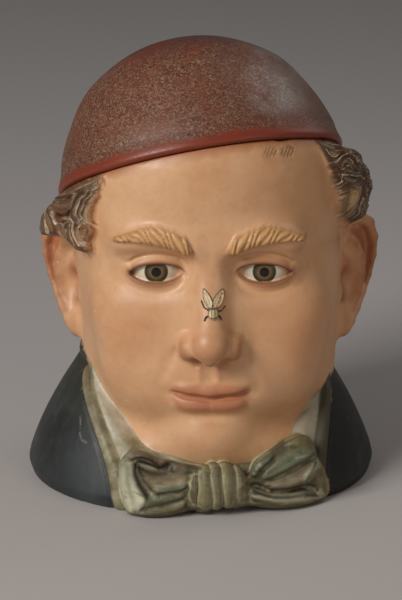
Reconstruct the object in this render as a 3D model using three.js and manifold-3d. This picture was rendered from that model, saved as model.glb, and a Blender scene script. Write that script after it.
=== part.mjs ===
// Figural tobacco jar of painted terracotta: a man's head and shoulders, cast hollow,
// under a lift-off lid in the shape of a skullcap.
// Millimetres, +Z up, the face looks along -Y, origin at the middle of the underside.
import * as THREE from "three";
import { mergeVertices } from "three/addons/utils/BufferGeometryUtils.js";
import Module from "manifold-3d";

const wasm = await Module();
wasm.setup();

// ---------------------------------------------------------------- driving sizes
const SHIFT = new THREE.Vector3(-0.180, 1.803, 0.0); // brings the outline's middle over the origin

// shoulders: half widths of the coat at the named heights
const COAT_CENTRE_X = 0.3;
const COAT_CENTRE_Y = -5.3;
const COAT_FRONT_RATIO = 0.825; // depth of the front half against the half width
const COAT_BACK_RATIO = 1.012; // and of the back half
const COAT_TURN = (6.2 * Math.PI) / 180; // towards +X
const COAT_FOOT = 60.4; // at the table
const COAT_WIDEST = 61.5; // just above it
const COAT_WIDEST_Z = 4.5;
const COAT_NECK = 40.0; // where it meets the collar
const COAT_NECK_Z = 46.5;

// dress: bow tie, collar and lapels are turned a little towards +X
const DRESS_TURN = (10.5 * Math.PI) / 180;
const COLLAR_R = 41.5;
const COLLAR_WALL = 2.6;
const COLLAR_FRONT_Z = 18; // top edge behind the bow
const COLLAR_SIDE_Z = 44; // below the ears
const COLLAR_BACK_Z = 54; // nape
const COLLAR_LEAD = 12; // degrees by which it climbs sooner on the right
const LAPEL_FOOT_ANGLE = { "-1": 36, 1: 30 }; // degrees from the front, at the table
const LAPEL_SWING = { "-1": 31, 1: 27 }; // how much further round it is 38 mm up
const LAPEL_RISE = 1.4; // the coat's cloth stands this far over the shirt's edge
const COLLAR_BARE = 2.5; // height of collar above the coat's edge
const SHIRT_SINK = 3; // the shirt front lies behind the bow
const BOW_KNOT_X = -3.4; // the knot sits off the dress's middle
const BOW_SPAN = { "-1": 32.8, 1: 38.6 }; // from the knot to each loop's end
const BOW_LIFT = { "-1": 4.0, 1: 1.5 }; // how far each loop's end stands forward
const BOW_WAIST = [4, 14]; // heights of a loop's lower and upper edge at the knot
const BOW_END = [1, 25]; // and at its end
const BOW_THICK = 5.2;
const BOW_FRONT = 53.5; // forward reach of the loops beside the knot
const BOW_SWEEP = 0.0098; // how the loops fall back along the chest
const KNOT_Z = 9.9;
const KNOT_HALF = new THREE.Vector3(9.6, 6.6, 7.6);
const KNOT_PLEATS = 5;

// head
const HEAD_X = 3;
const FACE_C = [0, -5, 66];
const FACE_R = [44.5, 43, 51];
const JOWL_C = [0, -4, 37]; // the full lower face, which fills the collar
const JOWL_R = [41, 41, 25.5];
const NECK_R = [37, 35];
const CHIN_Z = 15;
const UNIT = 38; // one third of the face: chin, nose base, brow and hairline stand one apart
const NOSE_BASE_Z = CHIN_Z + UNIT;
const BROW_Z = CHIN_Z + 2 * UNIT;
const EYE_Z = 81.5; // half way from chin to crown
const MOUTH_Z = NOSE_BASE_Z - UNIT / 3;
const EYE_W = 18; // the face is five eyes wide

// the lid's seat: the plane z = SEAT_Z + SEAT_A x + SEAT_B y
const SEAT_Z = 105.7;
const SEAT_A = 0.191;
const SEAT_B = -0.409;
const SEAT_Y = 1.1;
const LID_RU = 50.0; // outer half width of the lid's rim, side to side
const LID_RV = 50.6; // front to back
const LID_HEIGHT = 47.0;
const LID_POWER = 1.88; // a little more pointed than an ellipse
const LID_WALL = 5.0;
const LID_LIP = 3.2; // rounding of the rim
const OVERHANG = 1.4; // the rim stands this far outside the head
const SEAT_GAP = 0.3;
const MOUTH_RU = 43.4; // the jar's mouth
const MOUTH_RV = 43.9;
const FLANGE_CLEAR = 0.8;
const FLANGE_WALL = 2.8;
const FLANGE_DEPTH = 6;

const WALL = 6.2; // the casting's wall
const FLOOR = 8;

const UNDER_CHIN_C = [0, -30, 16]; // the flesh that fills the collar below the chin
const UNDER_CHIN_R = [30, 22, 12];

const HAIR_THICK = 11;

const EAR_THICK = 3.6; // half of it
const EAR_HALF_HEIGHT = 22;
const EAR_FRONT = -10.5; // front and back edge from the ear's middle
const EAR_BACK = 11.2;
const EAR_LOBE_BACK = -5; // the back edge draws in towards the lobe
const EAR_C = [49.3, 7, 67];
const EAR_FLARE = (42 * Math.PI) / 180; // the back edge stands off the head
const EAR_LEAN = (5 * Math.PI) / 180;

// ---------------------------------------------------------------- small maths
const { abs, sqrt, max, min, sin, cos, exp, PI, hypot, sign } = Math;
const clamp = (v, a, b) => max(a, min(b, v));
const smooth = (a, b, v) => {
  const t = clamp((v - a) / (b - a), 0, 1);
  return t * t * (3 - 2 * t);
};
const mix = (a, b, t) => a + (b - a) * t;
// smooth union and smooth cut of two distances
const join = (a, b, k) => {
  const h = max(k - abs(a - b), 0) / k;
  return min(a, b) - h * h * k * 0.25;
};
const carve = (a, b, k) => -join(-a, b, k);
const ball = (x, y, z, c, r) => {
  const px = (x - c[0]) / r[0],
    py = (y - c[1]) / r[1],
    pz = (z - c[2]) / r[2];
  const k0 = hypot(px, py, pz),
    k1 = hypot(px / r[0], py / r[1], pz / r[2]);
  return k1 < 1e-9 ? -min(...r) : (k0 * (k0 - 1)) / k1;
};
// a cone with round ends
const taper = (x, y, z, a, b, ra, rb) => {
  const bx = b[0] - a[0],
    by = b[1] - a[1],
    bz = b[2] - a[2];
  const t = clamp(
    ((x - a[0]) * bx + (y - a[1]) * by + (z - a[2]) * bz) /
      (bx * bx + by * by + bz * bz),
    0,
    1,
  );
  return (
    hypot(x - a[0] - bx * t, y - a[1] - by * t, z - a[2] - bz * t) -
    mix(ra, rb, t)
  );
};

// ---------------------------------------------------------------- the lid's seat as a frame
const seatN = new THREE.Vector3(-SEAT_A, -SEAT_B, 1).normalize();
const seatU = new THREE.Vector3(1, 0, SEAT_A).normalize();
const seatV = new THREE.Vector3().crossVectors(seatN, seatU);
const seatO = new THREE.Vector3(0, SEAT_Y, SEAT_Z + SEAT_B * SEAT_Y);
const seatFrame = new THREE.Matrix4()
  .makeBasis(seatU, seatV, seatN)
  .setPosition(seatO);
const inSeat = (x, y, z) => {
  const dx = x - seatO.x,
    dy = y - seatO.y,
    dz = z - seatO.z;
  return [
    dx * seatU.x + dy * seatU.y + dz * seatU.z,
    dx * seatV.x + dy * seatV.y + dz * seatV.z,
    dx * seatN.x + dy * seatN.y + dz * seatN.z,
  ];
};
const seatHeight = (x, y) => SEAT_Z + SEAT_A * x + SEAT_B * y;

// ---------------------------------------------------------------- the casting's form
// angle from the front in degrees, positive towards +X
const bearing = (x, y, turn = 0) =>
  ((((Math.atan2(x, -(y - 2)) - turn) * 180) / PI + 540) % 360) - 180;

// the skull, the face's mass and the neck, with no features
function headCore(x, y, z) {
  const [u, v, w] = inSeat(x, y, z);
  let d = ball(u, v, w, [0, 0, 0], [
    LID_RU - OVERHANG,
    LID_RV - OVERHANG,
    46.5,
  ]);
  d = join(d, ball(x - HEAD_X, y, z, FACE_C, FACE_R), 14);
  d = join(d, ball(x - HEAD_X, y, z, JOWL_C, JOWL_R), 12);
  const neck = max(
    hypot((x - HEAD_X) / NECK_R[0], (y - 6) / NECK_R[1]) * 36 - 36,
    z - 74,
  );
  return join(d, neck, 16);
}

function coatHalf(z) {
  const rise = clamp(
    (z - COAT_WIDEST_Z) / (COAT_NECK_Z - COAT_WIDEST_Z),
    0,
    1.2,
  );
  const body = COAT_WIDEST - (COAT_WIDEST - COAT_NECK) * rise ** 1.25;
  const foot = (COAT_WIDEST - COAT_FOOT) * (1 - smooth(0, COAT_WIDEST_Z, z));
  return body - foot;
}

// top edge of the collar at a bearing of the dress; it climbs sooner on the right
function collarTop(turned) {
  const a = abs(turned),
    sooner = turned > 0 ? COLLAR_LEAD * (1 - smooth(60, 100, a)) : 0;
  return (
    mix(COLLAR_FRONT_Z, COLLAR_SIDE_Z, smooth(25, 82, a + sooner)) +
    (COLLAR_BACK_Z - COLLAR_SIDE_Z) * smooth(90, 170, a)
  );
}

function coat(x, y, z) {
  const turned = bearing(x, y, DRESS_TURN),
    t = abs(turned),
    side = turned < 0 ? -1 : 1;
  // in plan, half of one oval in front and half of a longer one behind
  const dx = x - COAT_CENTRE_X,
    dy = y - COAT_CENTRE_Y;
  const cx = dx * cos(COAT_TURN) + dy * sin(COAT_TURN),
    cy = -dx * sin(COAT_TURN) + dy * cos(COAT_TURN);
  const a = coatHalf(z),
    b = a * (cy < 0 ? COAT_FRONT_RATIO : COAT_BACK_RATIO);
  let d = (hypot(cx / a, cy / b) - 1) * b * 0.9;
  // the lapel is a raised strip that runs from the table to the collar's side
  const edge =
    LAPEL_FOOT_ANGLE[side] + LAPEL_SWING[side] * (clamp(z, 0, 42) / 38) ** 2;
  d += LAPEL_RISE * (1 - smooth(edge - 2, edge + 1, t));
  d += SHIRT_SINK * (1 - smooth(edge - 18, edge - 6, t));
  const top = collarTop(turned) - COLLAR_BARE * smooth(edge - 1, edge + 1, t);
  d = -join(-d, -(z - top) * 0.8, 2);
  return d;
}

function collar(x, y, z) {
  const turned = bearing(x, y, DRESS_TURN);
  const r =
    hypot((x - HEAD_X * 0.6) / COLLAR_R, (y - 3) / (COLLAR_R + 1.5)) * COLLAR_R -
    COLLAR_R;
  const wall = r - 0.06 * (z - 30) - COLLAR_WALL; // the neck fills it
  return -join(-wall, -(z - collarTop(turned)) * 0.9, 2.5);
}

// how far the hair stands off the head
function hairRise(x, y, z) {
  const t = bearing(x - HEAD_X, y),
    a = abs(t);
  const under = -inSeat(x, y, z)[2]; // below the lid's seat
  const front = smooth(52, 68, a + under * 0.25);
  // lower edge: above the ears, then down behind them to the nape
  const low = mix(
    mix(83 + (x > 0 ? 7 : 0), 66, smooth(92, 118, a)),
    56,
    smooth(118, 150, a),
  );
  const foot = smooth(low - 4, low + 5, z);
  const top = mix(0.25, 1, smooth(-1, 8, under));
  const wave = 0.84 + 0.16 * sin(a * 0.2 + under * 0.34);
  const thin = mix(1, 0.55, smooth(110, 150, a)); // flatter at the back
  return HAIR_THICK * front * foot * top * wave * thin;
}

// the whole outside of the casting that can be seen from its axis
function bust(x, y, z) {
  let d = headCore(x, y, z);
  const hx = x - HEAD_X;
  const m = abs(hx); // the face is the same on both sides
  // brow, cheeks, muzzle and chin
  d = join(d, ball(m, y, z, [15, -41, BROW_Z - 1], [15, 5.5, 5]), 8);
  d = join(d, ball(m, y, z, [25, -33, 62], [13, 11, 13]), 10);
  d = join(d, ball(m, y, z, [0, -36, MOUTH_Z + 2], [19, 13, 14]), 9);
  d = join(d, ball(m, y, z, [0, -36.5, CHIN_Z + 8], [14, 12, 10]), 8);
  d = join(d, ball(m, y, z, UNDER_CHIN_C, UNDER_CHIN_R), 8);
  // eye sockets and the eyes in them
  d = carve(d, ball(m, y, z, [EYE_W, -51, EYE_Z], [12, 10, 7.5]), 7);
  d = join(d, ball(m, y, z, [EYE_W, -33, EYE_Z], [10, 10.5, 9.5]), 2);
  // nose
  d = join(
    d,
    taper(m, y, z, [0, -40, BROW_Z - 4], [0, -52, NOSE_BASE_Z + 8], 4.2, 5.4),
    6,
  );
  d = join(d, ball(m, y, z, [0, -52.5, NOSE_BASE_Z + 6], [6.6, 6.8, 6]), 4);
  d = join(d, ball(m, y, z, [7, -46.5, NOSE_BASE_Z + 4.5], [4.4, 5.4, 4.4]), 3);
  // lips
  d = join(d, ball(m, y, z, [4.5, -48, MOUTH_Z + 2.6], [9, 3.4, 2.7]), 2);
  d = join(d, ball(m, y, z, [0, -47.6, MOUTH_Z - 2.9], [11, 3.6, 3.3]), 2);
  d -= hairRise(x, y, z);
  d = join(d, collar(x, y, z), 1.2);
  return join(d, coat(x, y, z), 1.2);
}

// the inside follows the outside loosely, as a slip casting does
function inside(x, y, z) {
  return join(headCore(x, y, z), coat(x, y, z), 6) + WALL;
}

// ---------------------------------------------------------------- solids
// a closed geometry as a solid, faces outward
function solid(geometry) {
  const g = geometry.clone();
  for (const n of Object.keys(g.attributes))
    if (n !== "position") g.deleteAttribute(n);
  const m = mergeVertices(g, 1e-4);
  const tri = Array.from(m.index.array);
  const p = m.attributes.position;
  const good = [];
  let volume = 0;
  const a = new THREE.Vector3(),
    b = new THREE.Vector3(),
    c = new THREE.Vector3();
  for (let i = 0; i < tri.length; i += 3) {
    const [i0, i1, i2] = tri.slice(i, i + 3);
    if (i0 === i1 || i1 === i2 || i0 === i2) continue;
    good.push(i0, i1, i2);
    a.fromBufferAttribute(p, i0);
    b.fromBufferAttribute(p, i1);
    c.fromBufferAttribute(p, i2);
    volume += a.dot(b.cross(c));
  }
  if (volume < 0)
    for (let i = 0; i < good.length; i += 3)
      [good[i + 1], good[i + 2]] = [good[i + 2], good[i + 1]];
  return new wasm.Manifold(
    new wasm.Mesh({
      numProp: 3,
      vertProperties: new Float32Array(p.array),
      triVerts: new Uint32Array(good),
    }),
  );
}
function geometryOf(manifold) {
  const m = manifold.getMesh();
  const v = new Float32Array(m.numVert * 3);
  for (let i = 0; i < m.numVert; i++)
    v.set(
      m.vertProperties.subarray(i * m.numProp, i * m.numProp + 3),
      i * 3,
    );
  const g = new THREE.BufferGeometry()
    .setAttribute("position", new THREE.BufferAttribute(v, 3))
    .setIndex(new THREE.BufferAttribute(new Uint32Array(m.triVerts), 1));
  g.computeVertexNormals();
  return g;
}

// A lathe whose rows and columns are pushed out along level rays until they meet a form.
// Columns are closer together where the face is.
function wrapped(form, columns, rows, level, outermost, crowd) {
  const profile = [new THREE.Vector2(0, 0)];
  for (let j = 0; j <= rows; j++) profile.push(new THREE.Vector2(1, j + 1));
  profile.push(new THREE.Vector2(0, rows + 2));
  const g = new THREE.LatheGeometry(profile, columns);
  const p = g.attributes.position;
  const n = profile.length;
  for (let k = 0; k < p.count; k++) {
    const i = Math.floor(k / n) % columns,
      j = k % n;
    const s = (i / columns) * 2 * PI;
    const t = s - crowd * sin(s); // 0 is the front
    const dx = sin(t),
      dy = -cos(t);
    if (j === 0) p.setXYZ(k, 0, 2, level(0, dx, dy));
    else if (j === n - 1) p.setXYZ(k, 0, 2, level(1, 0, 0));
    else {
      const z = level((j - 1) / rows, dx, dy);
      const zz = max(z, 0.02);
      const at = (r) => form(dx * r, 2 + dy * r, zz);
      let lo, hi;
      if (outermost) {
        hi = 84;
        while (hi > 2 && at(hi) > 0) hi -= 0.8;
        lo = hi;
        hi += 0.8;
      } else {
        lo = 0.5;
        while (lo < 80 && at(lo) < 0) lo += 0.8;
        hi = lo;
        lo -= 0.8;
      }
      for (let q = 0; q < 24; q++) {
        const mid = (lo + hi) / 2;
        if (at(mid) > 0) hi = mid;
        else lo = mid;
      }
      p.setXYZ(k, dx * lo, 2 + dy * lo, z);
    }
  }
  return g;
}

// an ear: a tilted shell that narrows to the lobe, its bowl hollowed out, flesh behind it
function earSolid(side) {
  const place = new THREE.Matrix4()
    .makeTranslation(side * EAR_C[0] + HEAD_X, EAR_C[1], EAR_C[2])
    .multiply(new THREE.Matrix4().makeRotationX(-EAR_LEAN))
    .multiply(new THREE.Matrix4().makeRotationZ(-side * EAR_FLARE));
  const shell = new THREE.SphereGeometry(1, 18, 11);
  const p = shell.attributes.position;
  for (let k = 0; k < p.count; k++) {
    const z = p.getY(k) * EAR_HALF_HEIGHT;
    const draw = clamp((12 - z) / 35, 0, 1) ** 1.5;
    const back = mix(EAR_BACK, EAR_LOBE_BACK, draw);
    const middle = (back + EAR_FRONT) / 2,
      half = (back - EAR_FRONT) / 2;
    p.setXYZ(k, p.getX(k) * EAR_THICK, middle + p.getZ(k) * half, z);
  }
  shell.applyMatrix4(place);
  const flesh = new THREE.SphereGeometry(1, 10, 7);
  flesh.scale(6, 7, 13);
  flesh.translate(-side * 5, -2, -1);
  flesh.applyMatrix4(place);
  const bowl = new THREE.SphereGeometry(1, 10, 7);
  bowl.scale(3.2, 5.6, 12.5);
  bowl.translate(side * 3.6, -0.2, 2.5);
  bowl.applyMatrix4(place);
  return solid(shell).add(solid(flesh)).subtract(solid(bowl));
}

// the bow: two loops that widen from the knot, and a pleated knot
const dressFrame = new THREE.Matrix4().makeRotationZ(DRESS_TURN);
function loopSolid(side) {
  const g = new THREE.SphereGeometry(1, 16, 11);
  g.rotateZ(PI / 2); // poles at the knot and at the loop's end
  const p = g.attributes.position;
  for (let k = 0; k < p.count; k++) {
    const s = side * p.getX(k) * 0.5 + 0.5; // 0 at the knot, 1 at the end
    const r = hypot(p.getY(k), p.getZ(k)) || 1e-9;
    const full = min(1, r * 1.35) / r; // blunt ends
    const low = mix(BOW_WAIST[0], BOW_END[0], s),
      top = mix(BOW_WAIST[1], BOW_END[1], s);
    const high = (top - low) / 2;
    const h = p.getY(k) * full * high;
    const along = BOW_KNOT_X + side * mix(4, BOW_SPAN[side], s);
    const fold = 1 - 0.32 * exp(-(((h / high - 0.15) / 0.3) ** 2)) * smooth(0.1, 0.7, s);
    const thick = BOW_THICK * p.getZ(k) * full * (p.getZ(k) > 0 ? fold : 1.2);
    const forward =
      BOW_FRONT - BOW_SWEEP * along * along + BOW_LIFT[side] * smooth(0.2, 0.9, s) + thick;
    p.setXYZ(k, along, -forward, (low + top) / 2 + h);
  }
  g.applyMatrix4(dressFrame);
  return solid(g);
}
function knotSolid() {
  const g = new THREE.SphereGeometry(1, 22, 8);
  const p = g.attributes.position;
  for (let k = 0; k < p.count; k++) {
    const a = p.getX(k),
      b = p.getZ(k),
      c = p.getY(k);
    const pleat = 1 + 0.05 * cos(a * PI * KNOT_PLEATS);
    p.setXYZ(
      k,
      BOW_KNOT_X + a * KNOT_HALF.x,
      -(BOW_FRONT + 0.4) - b * KNOT_HALF.y * pleat,
      KNOT_Z + sign(c) * abs(c) ** 0.7 * KNOT_HALF.z,
    );
  }
  g.applyMatrix4(dressFrame);
  return solid(g);
}

// everything above a level of the lid's seat, or below the table
function aboveSeat(level) {
  const g = new THREE.BoxGeometry(300, 300, 200);
  g.translate(0, 0, 100 + level);
  g.applyMatrix4(seatFrame);
  return solid(g);
}
function belowTable() {
  const g = new THREE.BoxGeometry(300, 300, 60);
  g.translate(0, 0, -30);
  return solid(g);
}
function seatCylinder(ru, rv, from, to, sides) {
  const g = new THREE.CylinderGeometry(1, 1, to - from, sides);
  g.rotateX(PI / 2);
  g.scale(ru, rv, 1);
  g.translate(0, 0, (from + to) / 2);
  return g;
}

// jar: the casting's outside, cut level with the lid's seat, then hollowed
const reach = 47;
const ROWS = 35;
const DRESS_ROWS = 12; // of them below the collar's edge
const outer = wrapped(
  bust,
  64,
  ROWS,
  (share, dx, dy) => {
    const top = seatHeight(dx * reach, 2 + dy * reach) + 2.5;
    const edge = collarTop(bearing(dx, 2 + dy, DRESS_TURN));
    const j = share * ROWS;
    return j <= DRESS_ROWS
      ? ((edge - 1.2) * j) / DRESS_ROWS
      : mix(edge + 0.3, top, (j - DRESS_ROWS - 1) / (ROWS - DRESS_ROWS - 1));
  },
  true,
  0.34,
);
const cavity = wrapped(
  inside,
  32,
  10,
  (share, dx, dy) =>
    mix(FLOOR, seatHeight(dx * 42, 2 + dy * 42) + 4, share),
  false,
  0,
);
const mouth = seatCylinder(MOUTH_RU, MOUTH_RV, -8, 12, 40);
mouth.applyMatrix4(seatFrame);
const jar = solid(outer)
  .add(earSolid(-1))
  .add(earSolid(1))
  .add(loopSolid(-1))
  .add(loopSolid(1))
  .add(knotSolid())
  .subtract(aboveSeat(0))
  .subtract(belowTable())
  .subtract(solid(cavity))
  .subtract(solid(mouth));

// lid: a dome with a rounded rim, hollow, with a ring below that drops into the mouth
function domeProfile(ru, height, lip) {
  const pts = [];
  const steps = 7;
  if (lip)
    for (let i = 0; i <= 3; i++) {
      const a = -PI / 2 + (i / 3) * (PI / 2);
      pts.push([1 - lip / ru + (lip / ru) * cos(a), lip + lip * sin(a)]);
    }
  else pts.push([1, 0]);
  for (let i = 1; i <= steps; i++) {
    const a = (i / steps) * (PI / 2);
    const r = cos(a) ** (2 / LID_POWER),
      z = sin(a) ** (2 / LID_POWER);
    if (i < steps) pts.push([r, lip + z * (height - lip)]);
  }
  return pts.map(([r, z]) => new THREE.Vector2(r * ru, z));
}
function dome(ru, rv, height, lip, base, sides) {
  const outline = domeProfile(ru, height, lip);
  const g = new THREE.LatheGeometry(
    [
      new THREE.Vector2(0, base),
      ...(base < 0 ? [new THREE.Vector2(ru, base)] : []),
      ...outline,
      new THREE.Vector2(0, height),
    ],
    sides,
  );
  g.rotateX(PI / 2);
  g.scale(1, rv / ru, 1);
  return g;
}
const lidOuter = dome(LID_RU, LID_RV, LID_HEIGHT, LID_LIP, 0, 40);
lidOuter.translate(0, 0, SEAT_GAP);
const flangeRU = MOUTH_RU - FLANGE_CLEAR,
  flangeRV = MOUTH_RV - FLANGE_CLEAR;
const flange = seatCylinder(flangeRU, flangeRV, -FLANGE_DEPTH, 2, 40);
const hollow = dome(
  flangeRU - FLANGE_WALL,
  flangeRV - FLANGE_WALL,
  LID_HEIGHT - LID_WALL,
  0,
  -FLANGE_DEPTH - 5,
  40,
);
const lid = solid(lidOuter).add(solid(flange)).subtract(solid(hollow));

// ---------------------------------------------------------------- scene graph
const painted = (hex, roughness) =>
  new THREE.MeshStandardMaterial({ color: hex, roughness, metalness: 0 });
const part = new THREE.Group();
part.position.copy(SHIFT);

const jarMesh = new THREE.Mesh(geometryOf(jar), painted(0xc99d73, 0.62));
jarMesh.name = "jar_body";
part.add(jarMesh);

const lidSeat = new THREE.Group();
lidSeat.applyMatrix4(seatFrame);
const lidMesh = new THREE.Mesh(geometryOf(lid), painted(0x6e4636, 0.58));
lidMesh.name = "cap_lid";
lidSeat.add(lidMesh);
part.add(lidSeat);

export default part;
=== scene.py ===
import math

import bpy
import numpy as np
from mathutils import Matrix, Vector


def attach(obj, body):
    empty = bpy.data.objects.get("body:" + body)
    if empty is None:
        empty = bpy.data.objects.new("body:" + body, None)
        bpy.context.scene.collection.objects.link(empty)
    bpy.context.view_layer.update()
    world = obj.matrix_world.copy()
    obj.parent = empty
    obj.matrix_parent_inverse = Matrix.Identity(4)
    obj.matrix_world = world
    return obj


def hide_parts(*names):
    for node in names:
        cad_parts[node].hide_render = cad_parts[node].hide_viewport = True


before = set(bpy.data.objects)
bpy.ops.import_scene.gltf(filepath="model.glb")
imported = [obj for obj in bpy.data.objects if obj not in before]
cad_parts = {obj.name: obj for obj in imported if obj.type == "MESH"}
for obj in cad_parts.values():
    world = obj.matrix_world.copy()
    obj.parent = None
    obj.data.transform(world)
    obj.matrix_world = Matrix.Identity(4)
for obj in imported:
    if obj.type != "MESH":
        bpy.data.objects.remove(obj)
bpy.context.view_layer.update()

# ------------------------------------------------------------------ sizes, in millimetres
SHIFT = np.array([-0.180, 1.803, 0.0])

COAT_CENTRE_X, COAT_CENTRE_Y = 0.3, -5.3
COAT_FRONT_RATIO, COAT_BACK_RATIO = 0.825, 1.012
COAT_TURN = math.radians(6.2)
COAT_FOOT = 60.4
COAT_WIDEST = 61.6
COAT_WIDEST_Z = 4.5
COAT_NECK = 40.0
COAT_NECK_Z = 46.5

DRESS_TURN = math.radians(10.5)
COLLAR_R = 41.5
COLLAR_WALL = 2.6
COLLAR_FRONT_Z = 18.0
COLLAR_SIDE_Z = 44.0
COLLAR_BARE = 2.5
COLLAR_BACK_Z = 54.0
LAPEL_RISE = 1.4
SHIRT_SINK = 3.0
BOW_KNOT_X = -3.4
BOW_SPAN_L, BOW_SPAN_R = 32.8, 38.6
KNOT_Z = 9.9
BOW_FRONT = 53.5
BOW_SWEEP = 0.0098

HEAD_X = 3.0
CHIN_Z = 15.0
UNIT = 38.0
NOSE_BASE_Z = CHIN_Z + UNIT
BROW_Z = CHIN_Z + 2 * UNIT
EYE_Z = 81.5
MOUTH_Z = NOSE_BASE_Z - UNIT / 3
EYE_W = 18.0
EYE = (EYE_W, -33.2, EYE_Z)
EYE_R = 9.8

SEAT_Z, SEAT_A, SEAT_B, SEAT_Y = 105.7, 0.191, -0.409, 1.1
LID_RU, LID_RV, LID_HEIGHT, LID_POWER = 50.0, 50.6, 47.0, 1.88
LID_WALL, LID_LIP, OVERHANG, SEAT_GAP = 5.0, 3.2, 1.4, 0.3
MOUTH_RU, MOUTH_RV = 43.4, 43.9
FLANGE_CLEAR, FLANGE_WALL, FLANGE_DEPTH = 0.8, 2.8, 6.0
WALL, FLOOR = 6.2, 8.0

EAR_C = (49.3, 7.0, 67.0)
EAR_FLARE = math.radians(42)
EAR_LEAN = math.radians(5)

FLY = (HEAD_X + 0.7, 73.5)  # the fly that sits on the bridge of the nose
MARKS = ((22.8, 121.6), (28.6, 121.0))  # two worn marks below the cap

STEP = 0.5  # spacing of the field's samples
JAR_TRIANGLES = 186_000


# ------------------------------------------------------------------ small maths
def clamp(v, a, b):
    return np.minimum(np.maximum(v, a), b)


def smooth(a, b, v):
    t = clamp((v - a) / (b - a), 0.0, 1.0)
    return t * t * (3 - 2 * t)


def mix(a, b, t):
    return a + (b - a) * t


def gauss(v, width):
    return np.exp(-((v / width) ** 2))


def join(a, b, k):
    h = np.maximum(k - np.abs(a - b), 0) / k
    return np.minimum(a, b) - h * h * (k * 0.25)


def meet(a, b, k):
    return -join(-a, -b, k)


def carve(a, b, k):
    return -join(-a, b, k)


def ball(x, y, z, c, r):
    px, py, pz = (x - c[0]) / r[0], (y - c[1]) / r[1], (z - c[2]) / r[2]
    k0 = np.sqrt(px * px + py * py + pz * pz)
    k1 = np.sqrt((px / r[0]) ** 2 + (py / r[1]) ** 2 + (pz / r[2]) ** 2)
    return k0 * (k0 - 1) / np.maximum(k1, 1e-6)


def taper(x, y, z, a, b, ra, rb):
    bx, by, bz = b[0] - a[0], b[1] - a[1], b[2] - a[2]
    px, py, pz = x - a[0], y - a[1], z - a[2]
    t = clamp((px * bx + py * by + pz * bz) / (bx * bx + by * by + bz * bz), 0.0, 1.0)
    return np.sqrt((px - bx * t) ** 2 + (py - by * t) ** 2 + (pz - bz * t) ** 2) - mix(
        ra, rb, t
    )


def chain(x, y, z, points, radii):
    """Distance to a row of joined cones."""
    d = None
    for i in range(len(points) - 1):
        e = taper(x, y, z, points[i], points[i + 1], radii[i], radii[i + 1])
        d = e if d is None else join(d, e, 0.8)
    return d


def ridge(v):
    """A row of rounded ridges with sharp creases between them, 0 to 1, one to a unit."""
    f = v - np.floor(v)
    return 1 - (2 * f - 1) ** 2


def spline(points, steps=3):
    """A smooth line through points, as a row of short straight pieces."""
    p = np.array(points, float)
    q = np.vstack([2 * p[0] - p[1], p, 2 * p[-1] - p[-2]])
    out = []
    for i in range(1, len(q) - 2):
        a, b, c, d = q[i - 1 : i + 3]
        for k in range(steps):
            t = k / steps
            out.append(
                0.5
                * (
                    2 * b
                    + (c - a) * t
                    + (2 * a - 5 * b + 4 * c - d) * t * t
                    + (3 * b - a - 3 * c + d) * t**3
                )
            )
    return np.array(out + [p[-1]])


def along(px, py, line):
    """Where points lie by a line: the share of its length, and the distance off it, left positive."""
    best = np.full(px.shape, 1e9, px.dtype)
    share = np.zeros_like(px)
    off = np.zeros_like(px)
    n = len(line) - 1
    for i in range(n):
        ax, ay = line[i]
        bx, by = line[i + 1] - line[i]
        t = clamp(((px - ax) * bx + (py - ay) * by) / (bx * bx + by * by), 0, 1)
        ex, ey = px - ax - bx * t, py - ay - by * t
        e2 = ex * ex + ey * ey
        near = e2 < best
        best = np.where(near, e2, best)
        share = np.where(near, (i + t) / n, share)
        off = np.where(near, np.sign(bx * ey - by * ex) * np.sqrt(e2), off)
    return share, off


WAVES = np.random.default_rng(7).normal(size=(24, 4))


def lump(x, y, z, size, first=0, count=6):
    """Smooth unevenness, about -1 to 1, with features of the given size."""
    total = 0
    for i in range(count):
        k = WAVES[(first + i) % 24]
        n = k[:3] / np.linalg.norm(k[:3]) * (2.2 / size) * (0.75 + 0.09 * i)
        total = total + np.sin(x * n[0] + y * n[1] + z * n[2] + k[3] * 9)
    return total / (0.75 * count**0.5 * 1.4)


# ------------------------------------------------------------------ the lid's seat as a frame
N_ = np.array([-SEAT_A, -SEAT_B, 1.0])
N_ /= np.linalg.norm(N_)
U_ = np.array([1.0, 0.0, SEAT_A])
U_ /= np.linalg.norm(U_)
V_ = np.cross(N_, U_)
O_ = np.array([0.0, SEAT_Y, SEAT_Z + SEAT_B * SEAT_Y])


def in_seat(x, y, z):
    dx, dy, dz = x - O_[0], y - O_[1], z - O_[2]
    return (
        dx * U_[0] + dy * U_[1] + dz * U_[2],
        dx * V_[0] + dy * V_[1] + dz * V_[2],
        dx * N_[0] + dy * N_[1] + dz * N_[2],
    )


def bearing(x, y, turn=0.0):
    a = (np.arctan2(x, -(y - 2)) - turn) * (180 / math.pi)
    return (a + 540) % 360 - 180


# ------------------------------------------------------------------ the casting's masses
def head_core(x, y, z, u, v, w):
    d = ball(u, v, w, (0, 0, 0), (LID_RU - OVERHANG, LID_RV - OVERHANG, 46.5))
    d = join(d, ball(x - HEAD_X, y, z, (0, -5, 66), (44.5, 43, 51)), 14)
    d = join(d, ball(x - HEAD_X, y, z, (0, -4, 37), (41, 41, 25.5)), 12)
    neck = np.maximum(
        np.sqrt(((x - HEAD_X) / 37) ** 2 + ((y - 6) / 35) ** 2) * 36 - 36, z - 74
    )
    return join(d, neck, 16)


def coat_half(z):
    rise = clamp((z - COAT_WIDEST_Z) / (COAT_NECK_Z - COAT_WIDEST_Z), 0, 1.2)
    body = COAT_WIDEST - (COAT_WIDEST - COAT_NECK) * rise**1.25
    return body - (COAT_WIDEST - COAT_FOOT) * (1 - smooth(0, COAT_WIDEST_Z, z))


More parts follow.
